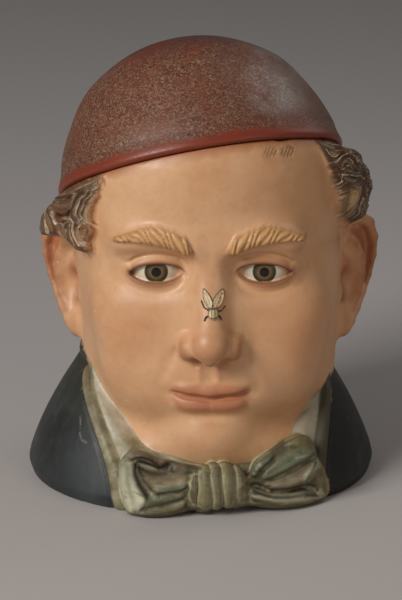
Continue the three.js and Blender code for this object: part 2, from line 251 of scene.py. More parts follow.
def collar_top(turned):
    """Height of the collar's top edge, which climbs sooner on the right."""
    a = np.abs(turned)
    sooner = np.where(turned > 0, 12 * (1 - smooth(60, 100, a)), 0)
    front = mix(COLLAR_FRONT_Z, COLLAR_SIDE_Z, smooth(25, 82, a + sooner))
    return front + (COLLAR_BACK_Z - COLLAR_SIDE_Z) * smooth(90, 170, a)


def lapel_edge(z, turned):
    """Angle from the dress's front of the lapel's inner edge; it differs from side to side."""
    up = (clamp(z, 0, 42) / 38) ** 2
    return np.where(turned < 0, 36 + 31 * up, 30 + 27 * up)


def coat(x, y, z, turned, detail):
    t = np.abs(turned)
    c, s = math.cos(COAT_TURN), math.sin(COAT_TURN)
    dx, dy = x - COAT_CENTRE_X, y - COAT_CENTRE_Y
    cx, cy = dx * c + dy * s, -dx * s + dy * c
    a = coat_half(z)
    b = a * np.where(cy < 0, COAT_FRONT_RATIO, COAT_BACK_RATIO)
    d = (np.sqrt((cx / a) ** 2 + (cy / b) ** 2) - 1) * b * 0.9
    edge = lapel_edge(z, turned)
    d = d + LAPEL_RISE * (1 - smooth(edge - 1.6, edge + 0.4, t))
    d = d + SHIRT_SINK * (1 - smooth(edge - 18, edge - 6, t))
    if detail:
        # the strip along the lapel is a soft roll, with a groove to the coat behind it
        d = d - 0.5 * smooth(edge - 1.2, edge + 1.2, t) * (1 - smooth(edge + 2.6, edge + 4.6, t))
        d = d + 0.4 * gauss(t - edge - 4.9, 0.8)
        # soft hollows in the cloth
        d = d + 0.45 * lump(x, y, z, 17, 3) * smooth(edge + 5, edge + 16, t) * (1 - smooth(30, 42, z))
    bare = COLLAR_BARE * smooth(edge - 0.8, edge + 0.8, t)
    return meet(d, (z - collar_top(turned) + bare) * 0.8, 1.6)


def collar(x, y, z, turned, detail):
    r = (
        np.sqrt(((x - HEAD_X * 0.6) / COLLAR_R) ** 2 + ((y - 3) / (COLLAR_R + 1.5)) ** 2)
        * COLLAR_R
        - COLLAR_R
    )
    wall = r - 0.06 * (z - 30) - COLLAR_WALL
    t = np.abs(turned)
    top = collar_top(turned)
    if detail:
        # a turned hem below the top edge, and slack folds
        wall = wall + 0.35 * gauss(z - top + 3.0, 0.8)
        wall = wall - 0.35 * np.cos(np.radians(turned) * 13 + 0.05 * z)
    return meet(wall, (z - top) * 0.9, 1.8)


# ------------------------------------------------------------------ the face: a plain, calm one
def eye_slit(m, z):
    up = EYE_Z - 0.2 + 3.3 * np.maximum(1 - ((m - 17.4) / 9.2) ** 2, 0) ** 0.75
    low = EYE_Z - 0.5 - 2.8 * np.maximum(1 - ((m - 18.4) / 9.2) ** 2, 0) ** 0.75
    f = np.maximum(z - up, low - z)
    return np.maximum(f, np.abs(m - 17.9) - 9.0), up, low


def brow_shape(m, z):
    along = clamp((m - 6) / 27, 0, 1)
    centre = 90.2 + 4.9 * np.sin(math.pi * along**0.85 * 0.86)
    half = 3.3 * smooth(4.5, 8.5, m) * (1 - 0.72 * smooth(17, 33, m)) + 0.05
    body = np.exp(-(((z - centre) / half) ** 4)) * smooth(4.5, 8, m) * (
        1 - smooth(30, 33.5, m)
    )
    lean = mix(0.25, 1.25, along)
    stroke = ridge((m * 0.55 - (z - centre) * 0.55 * lean + 0.35 * np.sin(m * 0.9)) / 1.25)
    return body, stroke


def lip_line(m):
    return MOUTH_Z - 0.7 * gauss(m, 3.4) + 0.9 * smooth(7, 14, m) - 0.2


def face(d, m, y, z):
    front = smooth(-26, -34, y)
    # brow, temples, cheeks, muzzle and chin
    d = join(d, ball(m, y, z, (14, -40.2, BROW_Z), (16, 5.4, 4.8)), 9)
    d = join(d, ball(m, y, z, (0, -42.5, BROW_Z - 1), (8, 3.6, 6)), 6)
    d = join(d, ball(m, y, z, (26, -31, 65), (13, 11, 11.5)), 11)
    d = join(d, ball(m, y, z, (21, -31.5, 48), (14, 10.5, 15)), 11)
    d = join(d, ball(m, y, z, (0, -35.5, MOUTH_Z + 2), (19.5, 12.6, 14)), 10)
    d = join(d, ball(m, y, z, (0, -38.0, CHIN_Z + 9.4), (13.5, 12.6, 8.8)), 7)
    d = join(d, ball(m, y, z, (0, -28, 17), (35, 19, 12)), 8)
    # sockets
    d = carve(d, ball(m, y, z, (18.5, -50.6, EYE_Z + 0.6), (11.8, 9.4, 7.2)), 7)
    d = carve(d, ball(m, y, z, (9.3, -50, EYE_Z + 1.2), (3.6, 7.5, 4.6)), 4)
    # lids over the eyeballs, open along the slit
    slit, up, low = eye_slit(m, z)
    lids = ball(m, y, z, EYE, (EYE_R + 2.3, EYE_R + 1.45, EYE_R + 1.2))
    d = join(d, lids, 3.2)
    beside = smooth(6.5, 11, m) * (1 - smooth(25, 30, m)) * front
    d = d + 0.75 * gauss(z - up - 3.3, 0.8) * beside
    d = d - 0.4 * gauss(z - up - 1.0, 1.0) * beside
    d = d - 0.35 * gauss(z - low + 0.9, 0.8) * beside
    d = d + 0.3 * gauss(z - low + 3.4, 1.0) * beside
    reach = ball(m, y, z, EYE, (13.5, 13.5, 13.5))
    d = carve(d, np.maximum(slit, reach), 0.5)
    d = join(d, ball(m, y, z, EYE, (EYE_R, EYE_R, EYE_R)), 0.2)
    d = join(d, ball(m, y, z, (9.8, -37.4, EYE_Z - 0.4), (2.6, 3.2, 2.8)), 0.8)
    # nose: side walls, ridge, tip, wings
    d = join(d, taper(m, y, z, (3.2, -38.5, 85), (6.2, -42.5, 60), 3.2, 5.2), 5)
    d = join(d, taper(m, y, z, (0, -40.8, BROW_Z - 5), (0, -52.6, 61.5), 3.9, 5.2), 5)
    d = join(d, ball(m, y, z, (0, -53.6, NOSE_BASE_Z + 5.9), (6.2, 6.3, 5.5)), 4)
    d = join(d, ball(m, y, z, (7.3, -48.4, NOSE_BASE_Z + 4.4), (4.3, 6.0, 4.4)), 2.4)
    d = join(d, ball(m, y, z, (0, -52, NOSE_BASE_Z + 1.5), (2.1, 5.2, 2.4)), 2)
    d = d + 0.5 * gauss(
        np.sqrt((m - 11.2) ** 2 * 1.6 + (z - NOSE_BASE_Z - 4.6) ** 2 * 0.12), 1.2
    ) * front
    d = carve(d, ball(m, y, z, (4.4, -51.2, NOSE_BASE_Z - 0.2), (2.4, 3.9, 2.5)), 1.2)
    # channel above the lip
    d = d + 0.5 * gauss(m, 1.9) * smooth(44.5, 46.5, z) * (1 - smooth(50.5, 53, z)) * front
    d = d - 0.3 * gauss(m - 3.2, 1.3) * smooth(44.5, 46, z) * (1 - smooth(50, 52.5, z)) * front
    # lips, closed
    d = join(d, ball(m, y, z, (4.2, -47.2, MOUTH_Z + 2.3), (8.6, 3.3, 2.6)), 1.8)
    d = join(d, ball(m, y, z, (0, -48.0, MOUTH_Z + 1.6), (3.2, 3.1, 2.3)), 2.0)
    d = join(d, ball(m, y, z, (3.8, -47.0, MOUTH_Z - 3.0), (8.0, 3.6, 3.2)), 1.8)
    line = lip_line(m)
    d = d + 1.7 * gauss(z - line, 0.75) * (1 - smooth(10.5, 14.5, m)) * front
    d = d + 0.7 * gauss(np.sqrt((m - 13.6) ** 2 * 0.6 + (z - MOUTH_Z - 0.6) ** 2), 2.4) * front
    d = d + 0.9 * gauss(z - MOUTH_Z + 7.6, 2.0) * gauss(m, 9) * front
    # from the nose's wing past the mouth
    bend = 10.6 + 8.2 * clamp((58 - z) / 22, 0, 1) ** 0.85
    d = d + 0.4 * gauss(m - bend, 2.1) * smooth(38, 46, z) * (1 - smooth(54, 59, z)) * front
    # hair of the brows
    body, stroke = brow_shape(m, z)
    return d - front * body * (1.15 + 0.75 * stroke)


# ------------------------------------------------------------------ ears
HELIX = [
    (-5.5, 3.0, 0.2),
    (-9.0, 9.5, 0.8),
    (-7.6, 16.0, 1.2),
    (-3.0, 19.6, 1.5),
    (3.0, 20.4, 1.7),
    (8.2, 17.6, 1.8),
    (10.6, 12.4, 1.8),
    (10.4, 6.0, 1.6),
    (8.4, -1.0, 1.3),
    (5.8, -7.0, 1.0),
    (3.0, -12.4, 0.8),
    (0.2, -16.4, 0.5),
]
HELIX_R = [1.3, 1.9, 2.1, 2.2, 2.2, 2.2, 2.1, 1.9, 1.7, 1.6, 1.6, 1.8]
ANTIHELIX = [
    (0.2, -12.0, 0.6),
    (2.6, -7.0, 1.0),
    (4.4, -0.6, 1.2),
    (3.8, 6.0, 1.1),
    (0.8, 11.0, 0.7),
    (-3.6, 13.8, 0.2),
]
ANTIHELIX_R = [2.2, 2.2, 2.3, 2.4, 2.2, 1.5]
SCAPHA = [(0.6, 16.2), (5.4, 14.2), (7.6, 9.6), (7.4, 3.6), (5.8, -2.4)]


def ear(x, y, z, side):
    px, py, pz = x - side * EAR_C[0] - HEAD_X, y - EAR_C[1], z - EAR_C[2]
    c, s = math.cos(EAR_LEAN), math.sin(EAR_LEAN)
    qy, qz = c * py - s * pz, s * py + c * pz
    c, s = math.cos(side * EAR_FLARE), math.sin(side * EAR_FLARE)
    qx, qy = c * px - s * qy, s * px + c * qy
    o, b, u = side * qx, qy, qz
    back = mix(10.8, -5.0, clamp((12 - u) / 35, 0, 1) ** 1.5)
    mid, half = (back - 9.5) / 2, (back + 9.5) / 2
    bn = (b - mid) / half * 10
    d = (np.sqrt((bn / 10.4) ** 2 + (u / 21.2) ** 2) - 1) * 9.0
    d = meet(d, np.abs(o + 1.0) - 1.9, 1.8)
    d = join(d, ball(o, b, u, (-5.6, -2.5, -1), (6.2, 7.2, 13.5)), 3)
    order = [(q[2], q[0], q[1]) for q in HELIX]
    d = join(d, chain(o, b, u, order, HELIX_R), 1.2)
    order = [(q[2], q[0], q[1]) for q in ANTIHELIX]
    d = join(d, chain(o, b, u, order, ANTIHELIX_R), 2.2)
    scapha = chain(o, b, u, [(2.4, q[0], q[1]) for q in SCAPHA], [1.2, 1.9, 1.9, 1.6, 1.0])
    d = carve(d, scapha, 0.9)
    d = carve(d, ball(o, b, u, (3.4, -3.0, -2.8), (4.6, 4.6, 6.6)), 1.8)
    d = carve(d, ball(o, b, u, (3.6, -3.4, 8.8), (3.6, 3.0, 2.8)), 1.4)
    d = carve(d, ball(o, b, u, (1.0, -5.4, -6.4), (5.2, 2.2, 2.6)), 1.0)
    d = join(d, ball(o, b, u, (1.0, -8.6, -5.4), (2.2, 2.3, 3.6)), 1.8)
    d = join(d, ball(o, b, u, (0.2, -4.0, -17.2), (2.9, 4.8, 4.8)), 2.4)
    # where the paint is redder, with painted shade in the ear's hollows, and the painted shadow of the ear hole
    cup = np.exp(-((np.maximum(scapha, 0) / 1.1) ** 2))
    cup = np.maximum(cup, np.exp(-(((b + 2.8) / 3.6) ** 2) - (((u - 1.6) / 3.6) ** 2)))
    cup = np.maximum(cup, 0.6 * np.exp(-(((b + 3.4) / 2.6) ** 2) - (((u + 4.6) / 4.0) ** 2)))
    hole = np.exp(-(((b + 5.2) / 2.0) ** 2) - (((u + 6.6) / 2.2) ** 2)) * (1 - smooth(0, 2.5, o))
    return d, cup * (1 - smooth(1.6, 3.4, o)), hole




# ------------------------------------------------------------------ carving drawn with lines
def off_line(a, b, line):
    """Distance of points from a line."""
    best = np.full(a.shape, 1e9)
    for p, q in zip(line[:-1], line[1:]):
        ea, eb = q - p
        t = clamp(((a - p[0]) * ea + (b - p[1]) * eb) / max(ea * ea + eb * eb, 1e-9), 0, 1)
        best = np.minimum(best, (a - p[0] - ea * t) ** 2 + (b - p[1] - eb * t) ** 2)
    return np.sqrt(best)


class Sheet:
    """A flat patch in millimetres that holds values worked out from lines drawn on it."""

    STEP = 0.3

    def __init__(self, low, high, lines):
        self.low = low
        self.size = [int((q - p) / self.STEP) + 1 for p, q in zip(low, high)]
        self.a, self.b = np.meshgrid(
            *(p + self.STEP * np.arange(n) for p, n in zip(low, self.size)), indexing="ij"
        )
        self.far = np.array([off_line(self.a, self.b, line) for line in lines])
        self.kept = {}

    def soft(self, name, values, power):
        """Each line's value near it, blended between lines."""
        total = np.zeros(self.size)
        weight = np.zeros(self.size)
        for far, value in zip(self.far, values):
            near = 1 / (far * far + 0.2) ** power
            total += near * value
            weight += near
        self.kept[name] = (total / weight).astype(np.float32)

    def flow(self, name, values):
        """Values that keep each line's own along it and change evenly from line to line."""
        self.soft(name, values, 1.2)
        v = self.kept[name].astype(float)
        which = self.far.argmin(0)
        fixed = self.far.min(0) < 0.22
        own = np.array(values, float)[which]
        for _ in range(400):
            v = np.where(fixed, own, v)
            p = np.pad(v, 1, mode="edge")
            v = (p[:-2, 1:-1] + p[2:, 1:-1] + p[1:-1, :-2] + p[1:-1, 2:]) / 4
        self.kept[name] = v.astype(np.float32)

    def read(self, name, a, b):
        v = self.kept[name]
        i = clamp((a - self.low[0]) / self.STEP, 0, self.size[0] - 1.001)
        j = clamp((b - self.low[1]) / self.STEP, 0, self.size[1] - 1.001)
        i0, j0 = i.astype(int), j.astype(int)
        fi, fj = i - i0, j - j0
        near = v[i0, j0] * (1 - fj) + v[i0, j0 + 1] * fj
        next_ = v[i0 + 1, j0] * (1 - fj) + v[i0 + 1, j0 + 1] * fj
        return near * (1 - fi) + next_ * fi


# ------------------------------------------------------------------ hair
# A strand is a line of places, each the distance round the head from the front and the distance
# below the cap, with its turn in the flow from side to side, how far it stands out, and its tan.
STRANDS_LEFT = [
    ([(37.2, 1.8), (41.6, 2.2), (45.6, 2.7), (50.0, 2.7), (54.0, 2.3)], -1.2, -0.3, 0),
    ([(37.8, 2.8), (41.4, 3.3), (45.2, 3.8), (48.6, 4.2), (51.7, 3.9), (55.1, 3.1)], 0.6, 0.9, 0),
    ([(45.8, 4.0), (47.2, 5.1), (49.7, 5.5), (52.4, 5.0), (56.3, 3.3)], 1.6, -0.7, 0),
    ([(45.6, 4.5), (47.0, 5.2), (49.1, 5.7), (51.7, 5.6), (54.3, 4.7), (56.7, 3.5)], 2.3, 0.3, 0),
    ([(46.9, 5.8), (48.8, 6.6), (51.4, 6.4), (54.1, 5.5), (57.7, 4.0)], 3.2, -0.5, 0),
    ([(46.8, 6.4), (48.1, 7.2), (49.7, 7.6), (52.2, 7.3), (54.8, 6.1), (56.4, 4.9)], 4.1, 0.2, 0),
    ([(47.9, 8.0), (49.3, 8.7), (51.1, 9.1), (53.1, 8.8), (55.8, 7.3)], 5.6, -0.4, 0),
    ([(49.0, 9.6), (50.6, 10.9), (53.2, 10.2), (54.8, 9.2)], 6.6, -2.6, 0),
    ([(43.0, 4.1), (44.8, 4.9), (46.2, 6.0), (46.8, 7.5), (47.3, 9.3), (47.4, 10.8), (46.6, 12.7), (45.8, 13.8)], 9.2, 0.9, 0),
    ([(42.4, 4.5), (44.0, 5.8), (45.2, 7.4), (46.3, 9.0), (46.3, 10.9), (45.5, 12.8)], 10, -0.2, 0),
    ([(41.2, 4.5), (43.1, 6.2), (44.5, 7.8), (45.6, 9.4), (45.5, 11.3), (44.8, 12.8)], 10.9, 0.5, 0),
    ([(40.8, 5.4), (42.7, 7.1), (43.4, 8.8), (44.5, 10.4), (44.6, 12.1)], 12, -0.4, 0),
    ([(37.1, 1.3), (36.8, 3.2), (37.1, 5.0), (38.2, 5.6), (40.0, 6.3), (41.6, 7.2), (42.6, 8.7), (43.6, 9.7), (44.1, 11.5)], 13.2, 0.6, 0),
    ([(37.9, 1.8), (38.3, 3.5), (38.8, 4.4), (41.9, 3.7)], 10.5, 0.3, 0),
    ([(38.0, 6.3), (39.7, 7.3), (41.6, 8.5), (42.1, 10.3), (42.6, 11.9), (42.2, 13.1)], 14.8, -0.2, 0.5),
    ([(37.4, 8.1), (39.6, 8.9), (40.3, 10.4), (40.9, 11.7), (41.1, 13.0)], 16, -0.5, 0.8),
    ([(36.9, 9.9), (38.7, 9.5), (39.1, 10.9), (39.9, 12.7), (39.9, 14.6)], 17, -0.8, 1),
    ([(58.0, 4.0), (61.2, 5.2), (62.1, 6.8), (64.7, 9.2), (65.4, 11.2), (61.8, 13.4)], 1.5, 0.2, 0),
    ([(57.9, 4.1), (58.7, 6.2), (58.9, 8.6), (59.5, 11.0), (58.6, 13.2)], 3, 0.3, 0),
    ([(56.9, 3.5), (57.5, 5.7), (57.0, 7.6), (56.1, 9.6), (55.3, 12.1), (55.4, 13.5)], 4.5, 0.8, 0),
    ([(53.4, 11.3), (53.2, 13.1), (53.7, 14.5)], 5.2, 0.2, 0),
    ([(50.0, 12.4), (49.8, 15.0), (49.5, 17.0), (48.5, 19.6), (46.4, 22.2)], 7, 0.9, 0),
    ([(48.8, 13.3), (49.0, 15.3), (48.7, 17.7), (47.7, 20.3)], 7.7, -0.3, 0),
    ([(48.1, 13.7), (48.4, 15.5), (48.2, 17.9), (47.2, 20.3), (45.4, 21.7)], 8.4, 0.9, 0.1),
    ([(46.5, 15.1), (46.8, 16.7), (45.9, 19.1), (43.9, 21.1), (43.2, 22.1)], 9.8, 0.1, 0.4),
    ([(55.0, 14.8), (52.5, 17.0), (49.6, 19.9), (47.6, 22.0), (46.1, 22.7)], 4.8, -0.2, 0),
    ([(41.6, 16.1), (43.2, 15.0), (45.2, 14.8), (46.1, 15.9), (46.0, 17.5), (45.3, 18.9), (43.3, 19.3)], 11, 0.5, 0.5),
    ([(42.6, 16.4), (43.7, 15.8), (44.7, 16.3), (44.8, 17.4), (43.8, 18.3)], 12.5, 0.1, 0.6),
    ([(46.7, 14.4), (46.6, 16.0), (45.9, 17.9), (45.0, 19.5), (43.4, 20.5)], 10.4, -0.9, 0.3),
]
STRANDS_RIGHT = [
    ([(46.8, 1.3), (48.5, 2.8), (50.8, 4.0), (53.6, 4.7), (55.8, 5.7)], 0, -0.2, 0),
    ([(44.4, 2.2), (45.1, 4.3), (46.3, 6.3), (47.1, 7.9)], 6, -0.2, 0.3),
    ([(46.5, 2.2), (46.6, 4.4), (47.3, 6.2), (48.4, 7.6)], 4.6, 0.1, 0.15),
    ([(46.9, 2.7), (47.6, 4.9), (48.8, 6.6), (50.3, 6.5), (51.2, 5.4), (53.1, 5.0)], 3, 0.5, 0.1),
    ([(49.1, 5.2), (49.7, 5.8)], 1.6, -0.8, 0),
    ([(48.4, 7.8), (49.9, 7.7), (51.6, 6.3), (53.6, 5.6)], 4.4, -0.4, 0.1),
    ([(49.9, 10.5), (50.5, 8.9), (52.1, 7.1), (54.6, 6.5), (56.6, 7.4), (57.4, 9.2), (59.1, 10.6), (61.0, 11.2)], 6, 0.9, 0),
    ([(51.9, 10.4), (53.0, 8.6), (54.4, 7.9), (55.8, 8.6), (56.6, 10.3), (58.4, 11.6)], 7.6, -0.5, 0),
    ([(52.4, 11.0), (53.9, 9.7), (56.1, 10.2), (57.9, 11.5), (61.3, 11.9)], 9, 0.2, 0),
    ([(51.8, 11.6), (54.4, 12.5), (57.0, 12.9), (59.6, 12.9), (62.2, 12.2)], 10.6, 0.6, 0),
    ([(52.4, 13.8), (55.5, 14.7), (59.7, 14.4), (62.4, 13.3)], 12.4, -0.9, 0),
    ([(53.0, 15.6), (55.0, 16.8), (57.2, 16.6), (60.5, 15.4), (63.0, 14.8)], 14.4, 0.5, 0.1),
    ([(49.9, 10.3), (50.3, 11.8), (51.3, 13.0), (52.1, 14.9)], 9.5, 0.3, 0.1),
    ([(51.1, 11.9), (51.8, 13.3), (52.6, 15.1)], 11, 0.4, 0.1),
    ([(51.4, 17.2), (52.3, 16.4), (53.9, 16.8)], 13, -0.2, 0.4),
    ([(53.7, 19.1), (55.3, 17.9), (58.4, 17.9), (60.6, 19.0), (61.2, 20.6), (59.8, 22.3), (58.1, 22.8)], 16, 0.5, 1),
    ([(54.7, 20.1), (57.1, 19.2), (58.9, 19.7), (58.6, 21.2), (57.4, 21.8)], 17.4, 0.3, 1),
    ([(53.4, 20.4), (53.5, 22.3), (54.7, 23.8), (56.3, 24.2)], 18, -0.2, 1),
    ([(54.2, 5.0), (56.4, 5.9), (64.4, 4.6), (66.8, 5.0), (64.9, 7.0), (63.3, 9.2)], 4.5, 0.8, 0),
    ([(55.6, 6.7), (58.1, 7.8), (60.0, 8.8), (61.6, 10.4)], 5.2, 0.2, 0),
    ([(62.2, 10.0), (64.6, 11.7), (66.8, 13.7), (69.3, 15.4), (68.0, 17.6), (65.4, 20.1), (64.3, 22.8), (63.6, 25.5)], 10, 0.6, 0),
    ([(61.6, 13.0), (63.0, 14.8), (63.0, 16.7), (63.1, 18.5), (62.6, 20.4), (62.6, 22.2)], 12.2, -0.3, 0),
]
# the hair's front edge: distances below the cap, and places there; and its lower edge above the ears
FRONT_LEFT = ((1.2, 4.8, 6.5, 9.5, 11.7, 14.1, 16.8, 19.5, 23.2), (36.2, 36.2, 37.0, 38.8, 39.8, 40.4, 40.6, 41.4, 42.8))
FRONT_RIGHT = ((1.8, 4.1, 6.5, 9.2, 11.9, 15.6, 18.8, 22.0, 24.9), (44.6, 45.8, 47.0, 48.5, 50.2, 52.0, 54.0, 55.2, 56.4))
LOW_LEFT = ((43.5, 45.9, 47.7, 50.3, 52.9, 55.4, 59.1, 62.2, 68.0), (23.6, 23.2, 22.0, 19.7, 17.5, 15.3, 14.4, 13.8, 12.7))
LOW_RIGHT = ((54.0, 57.8, 59.9, 62.2, 63.9, 68.0), (23.8, 25.0, 25.2, 25.6, 26.0, 26.4))
# how far it stands off the head, from the front edge to the nape
TALL_LEFT = ((35, 38, 42, 46, 50, 56, 62, 75, 90, 110), (0.5, 1.0, 2.0, 3.4, 4.8, 6.8, 9.4, 8.6, 6.6, 5.0))
TALL_RIGHT = ((44, 47, 50, 55, 60, 66, 70, 76, 90, 110), (0.5, 1.6, 3.6, 6.0, 8.0, 10.2, 10.8, 9.4, 7.0, 5.2))
# two clumps, one over the other, on the right
CLUMPS_RIGHT = ((0, 2.0, 3.6, 5.2, 7.1, 9.0, 11.0, 12.7, 16.6, 25), (0, 1.4, 2.2, 0.6, -2.4, -2.6, -2.0, -1.6, -0.7, -0.5))


def hair_sheet(strands):
    sheet = Sheet((28.0, -3.0), (76.0, 31.0), [spline(row[0]) for row in strands])
    sheet.flow("flow", [row[1] for row in strands])
    sheet.soft("swell", [row[2] for row in strands], 1.5)
    sheet.soft("tan", [row[3] for row in strands], 2.0)
    return sheet


HAIR = {-1: hair_sheet(STRANDS_LEFT), 1: hair_sheet(STRANDS_RIGHT)}


def hair_low(a, right):
    """Height of the hair's lower edge at an angle from the front."""
    return mix(mix(84.4 + 5.6 * right, 66, smooth(92, 118, a)), 56.5, smooth(118, 150, a))


def hair(x, y, z, w):
    """How far the hair stands off the head, with what its paint needs."""
    a = np.abs(bearing(x - HEAD_X, y))
    place = a * (48 * math.pi / 180)
    under = -w
    left = x < HEAD_X
    right = smooth(-6, 6, x)

    def pick(name):
        return np.where(left, HAIR[-1].read(name, place, under), HAIR[1].read(name, place, under))

    def table(at, one, other):
        return np.where(left, np.interp(at, *one), np.interp(at, *other))

    # carved waves in front of and above the ears, plainer ones behind
    behind = smooth(64, 72, place)
    wave = 0.92 * place + 2.0 * np.sin(under * 0.3 + 0.13 * place) + 0.7 * np.sin(under * 0.71 + 1.0)
    comb = mix(pick("flow"), wave, behind)
    swell = mix(pick("swell"), 1.7 * ridge(wave / 5.6) - 1.0, behind)
    tan = pick("tan") * (1 - behind)
    inside = place - table(under, FRONT_LEFT, FRONT_RIGHT) + mix(0.5, 0.3, right) * np.sin(comb * 2.2)
    front = smooth(-0.4, 1.0, inside)
    foot = smooth(0.9, -1.3, under - table(place, LOW_LEFT, LOW_RIGHT))
    low = hair_low(a, right)
    foot = mix(foot, smooth(low - 1.5, low + 2.5, z + 1.6 * ridge(wave / 5.6) - 1), smooth(66, 74, place))
    # it rounds over to the head below the cap
    start = mix(-0.6, 0.8, right * smooth(52, 58, place))
    shoulder = smooth(0, 1, (under - start) / (mix(3.4, 9.5, smooth(50, 66, place)) - start)) ** 0.75
    tall = table(place, TALL_LEFT, TALL_RIGHT)
    drop = 2.8 * smooth(15, 25, under) * smooth(50, 58, place)
    tall = tall - right * drop * (1 - smooth(74, 84, place))
    strand = 0.62 * (ridge(comb / 2.0) - 0.6)
    rise = np.maximum(tall + (1.4 * swell + strand) * smooth(0.3, 4.5, inside), 0.15)
    clump = right * np.interp(under, *CLUMPS_RIGHT) * smooth(57, 63, place) * (1 - smooth(74, 84, place))
    rise = np.maximum(rise * shoulder + clump, 0) * front**0.7 * foot**0.5
    hem = 1 - smooth(mix(0.2, -0.3, right), mix(2.4, 0.5, right), inside)
    return rise, front * foot, clamp(0.55 + 0.45 * swell, 0, 1), comb, tan, hem


# ------------------------------------------------------------------ bow tie
# Each loop's outline, then the lines of its folds: distance from the knot's middle and height,
# how far the cloth stands out along the line, and its tint.
# DEEP_SHADE folds sink, and their paint is painted shade
OLIVE, LEAF, DRAB, PALE, DEEP_SHADE = range(5)
LOOP_LEFT = [(3, 16.5), (11.5, 17.8), (14.6, 18.9), (18.0, 19.4), (20.7, 19.6), (22.4, 21.1), (24.7, 22.5), (27.5, 22.9), (29.9, 21.8), (32.2, 19.4), (33.0, 16.7), (32.8, 8.9), (31.4, 2.6), (30.4, 0.7), (26.7, 0.2), (19.6, 0.4), (13.4, 1.6), (11.2, 1.9), (3, 2.6)]
FOLDS_LEFT = [
    ([(29.4, 18.6), (29.3, 16.0), (28.7, 13.8), (27.4, 10.8), (26.1, 8.4), (26.0, 6.6), (27.1, 3.8)], 2.8, PALE),
    ([(31.4, 18.0), (31.2, 12.9), (30.1, 8.6), (29.2, 5.4), (29.4, 2.7)], 1.9, PALE),
    ([(32.9, 17.8), (32.7, 11.5), (31.9, 6.4), (30.6, 1.7)], 1.0, PALE),
    ([(27.3, 18.5), (24.3, 17.6), (20.7, 16.9), (17.5, 17.3)], -6.0, DEEP_SHADE),
    ([(28.0, 16.6), (27.0, 13.6), (25.3, 10.5), (24.0, 8.9)], -3.4, DEEP_SHADE),
    ([(25.2, 13.0), (21.9, 12.6), (17.1, 13.0), (12.2, 13.9)], -1.5, DRAB),
    ([(21.4, 9.5), (17.1, 10.1), (14.1, 10.4), (11.7, 11.4)], 1.2, LEAF),
    ([(20.5, 8.0), (17.1, 8.4), (14.4, 8.3), (11.6, 9.3)], -2.4, DEEP_SHADE),
    ([(25.0, 6.4), (20.7, 6.3), (17.1, 6.5), (13.4, 7.0)], 0.8, LEAF),
    ([(26.4, 2.9), (23.2, 3.5), (19.5, 4.4), (15.9, 5.3), (12.7, 6.6)], -1.8, DEEP_SHADE),
    ([(26.2, 1.5), (19.5, 2.3), (15.1, 3.3), (12.4, 4.4)], 1.4, OLIVE),
    ([(30.0, 0.3), (26.7, -0.2), (19.6, 0.2), (12.2, 1.5)], -0.4, DEEP_SHADE),
    ([(30.2, 21.2), (27.5, 22.4), (24.7, 22.0), (22.4, 20.6), (20.7, 19.2)], 1.6, DRAB),
    ([(28.6, 20.2), (26.1, 20.5), (23.3, 19.4), (21.2, 18.1)], -3.2, DEEP_SHADE),
    ([(16.2, 16.6), (12.5, 16.8)], -1.2, DRAB),
    ([(11.3, 16.5), (11.2, 10.0), (11.5, 3.4)], -1.8, DEEP_SHADE),
]
LOOP_RIGHT = [(3, 12.4), (9.2, 13.0), (10.3, 14.9), (12.0, 17.6), (16.5, 20.1), (22.2, 23.3), (25.7, 24.6), (28.7, 24.9), (31.2, 23.5), (33.2, 19.4), (34.2, 16.1), (36.5, 10.5), (38.0, 5.7), (38.2, 2.4), (36.4, 0.4), (29.7, 0.2), (23.6, 0.2), (14.9, 1.8), (9.3, 3.0), (3, 3.0)]
FOLDS_RIGHT = [
    ([(10.9, 14.3), (13.1, 16.9), (16.5, 19.3)], 1.0, LEAF),
    ([(13.1, 13.8), (14.8, 16.1), (16.8, 17.8), (19.9, 20.8), (22.2, 22.4)], -1.7, DEEP_SHADE),
    ([(15.9, 14.4), (20.5, 17.0), (24.9, 19.1), (30.0, 20.9)], 0.6, LEAF),
    ([(15.7, 13.0), (20.5, 14.6), (26.4, 16.9), (32.5, 18.8)], 1.1, LEAF),
    ([(14.8, 11.4), (17.1, 11.8), (20.5, 12.7), (26.4, 14.8), (32.9, 16.9)], -1.8, DEEP_SHADE),
    ([(16.0, 10.2), (20.6, 11.1), (25.8, 12.6), (31.6, 15.2)], 0.4, DRAB),
    ([(17.1, 8.9), (23.5, 8.8), (28.0, 9.6)], 1.1, DRAB),
    ([(29.2, 9.9), (31.4, 12.6), (32.9, 15.3)], 1.7, PALE),
    ([(30.8, 8.5), (33.2, 10.7)], -0.9, DEEP_SHADE),
    ([(35.7, 11.0), (36.9, 6.9), (37.6, 3.5)], 1.2, OLIVE),
    ([(10.9, 10.0), (14.3, 8.5), (17.7, 7.1), (23.5, 6.7), (28.9, 7.0), (32.7, 5.2), (34.2, 4.2)], -4.0, DEEP_SHADE),
    ([(10.3, 8.1), (17.7, 5.6), (23.5, 4.8), (29.6, 4.3), (35.7, 2.8)], 2.0, PALE),
    ([(10.4, 6.1), (17.7, 3.8), (23.6, 2.8), (29.6, 2.0), (36.4, 1.4)], 2.4, OLIVE),
    ([(9.8, 3.0), (23.6, 0.1), (35.7, 0.1)], -0.4, DEEP_SHADE),
    ([(10.2, 12.7), (9.8, 9.9), (9.5, 5.6)], -2.0, DEEP_SHADE),
    ([(24.0, 23.4), (28.5, 24.2), (31.0, 22.6)], 0.8, OLIVE),
]


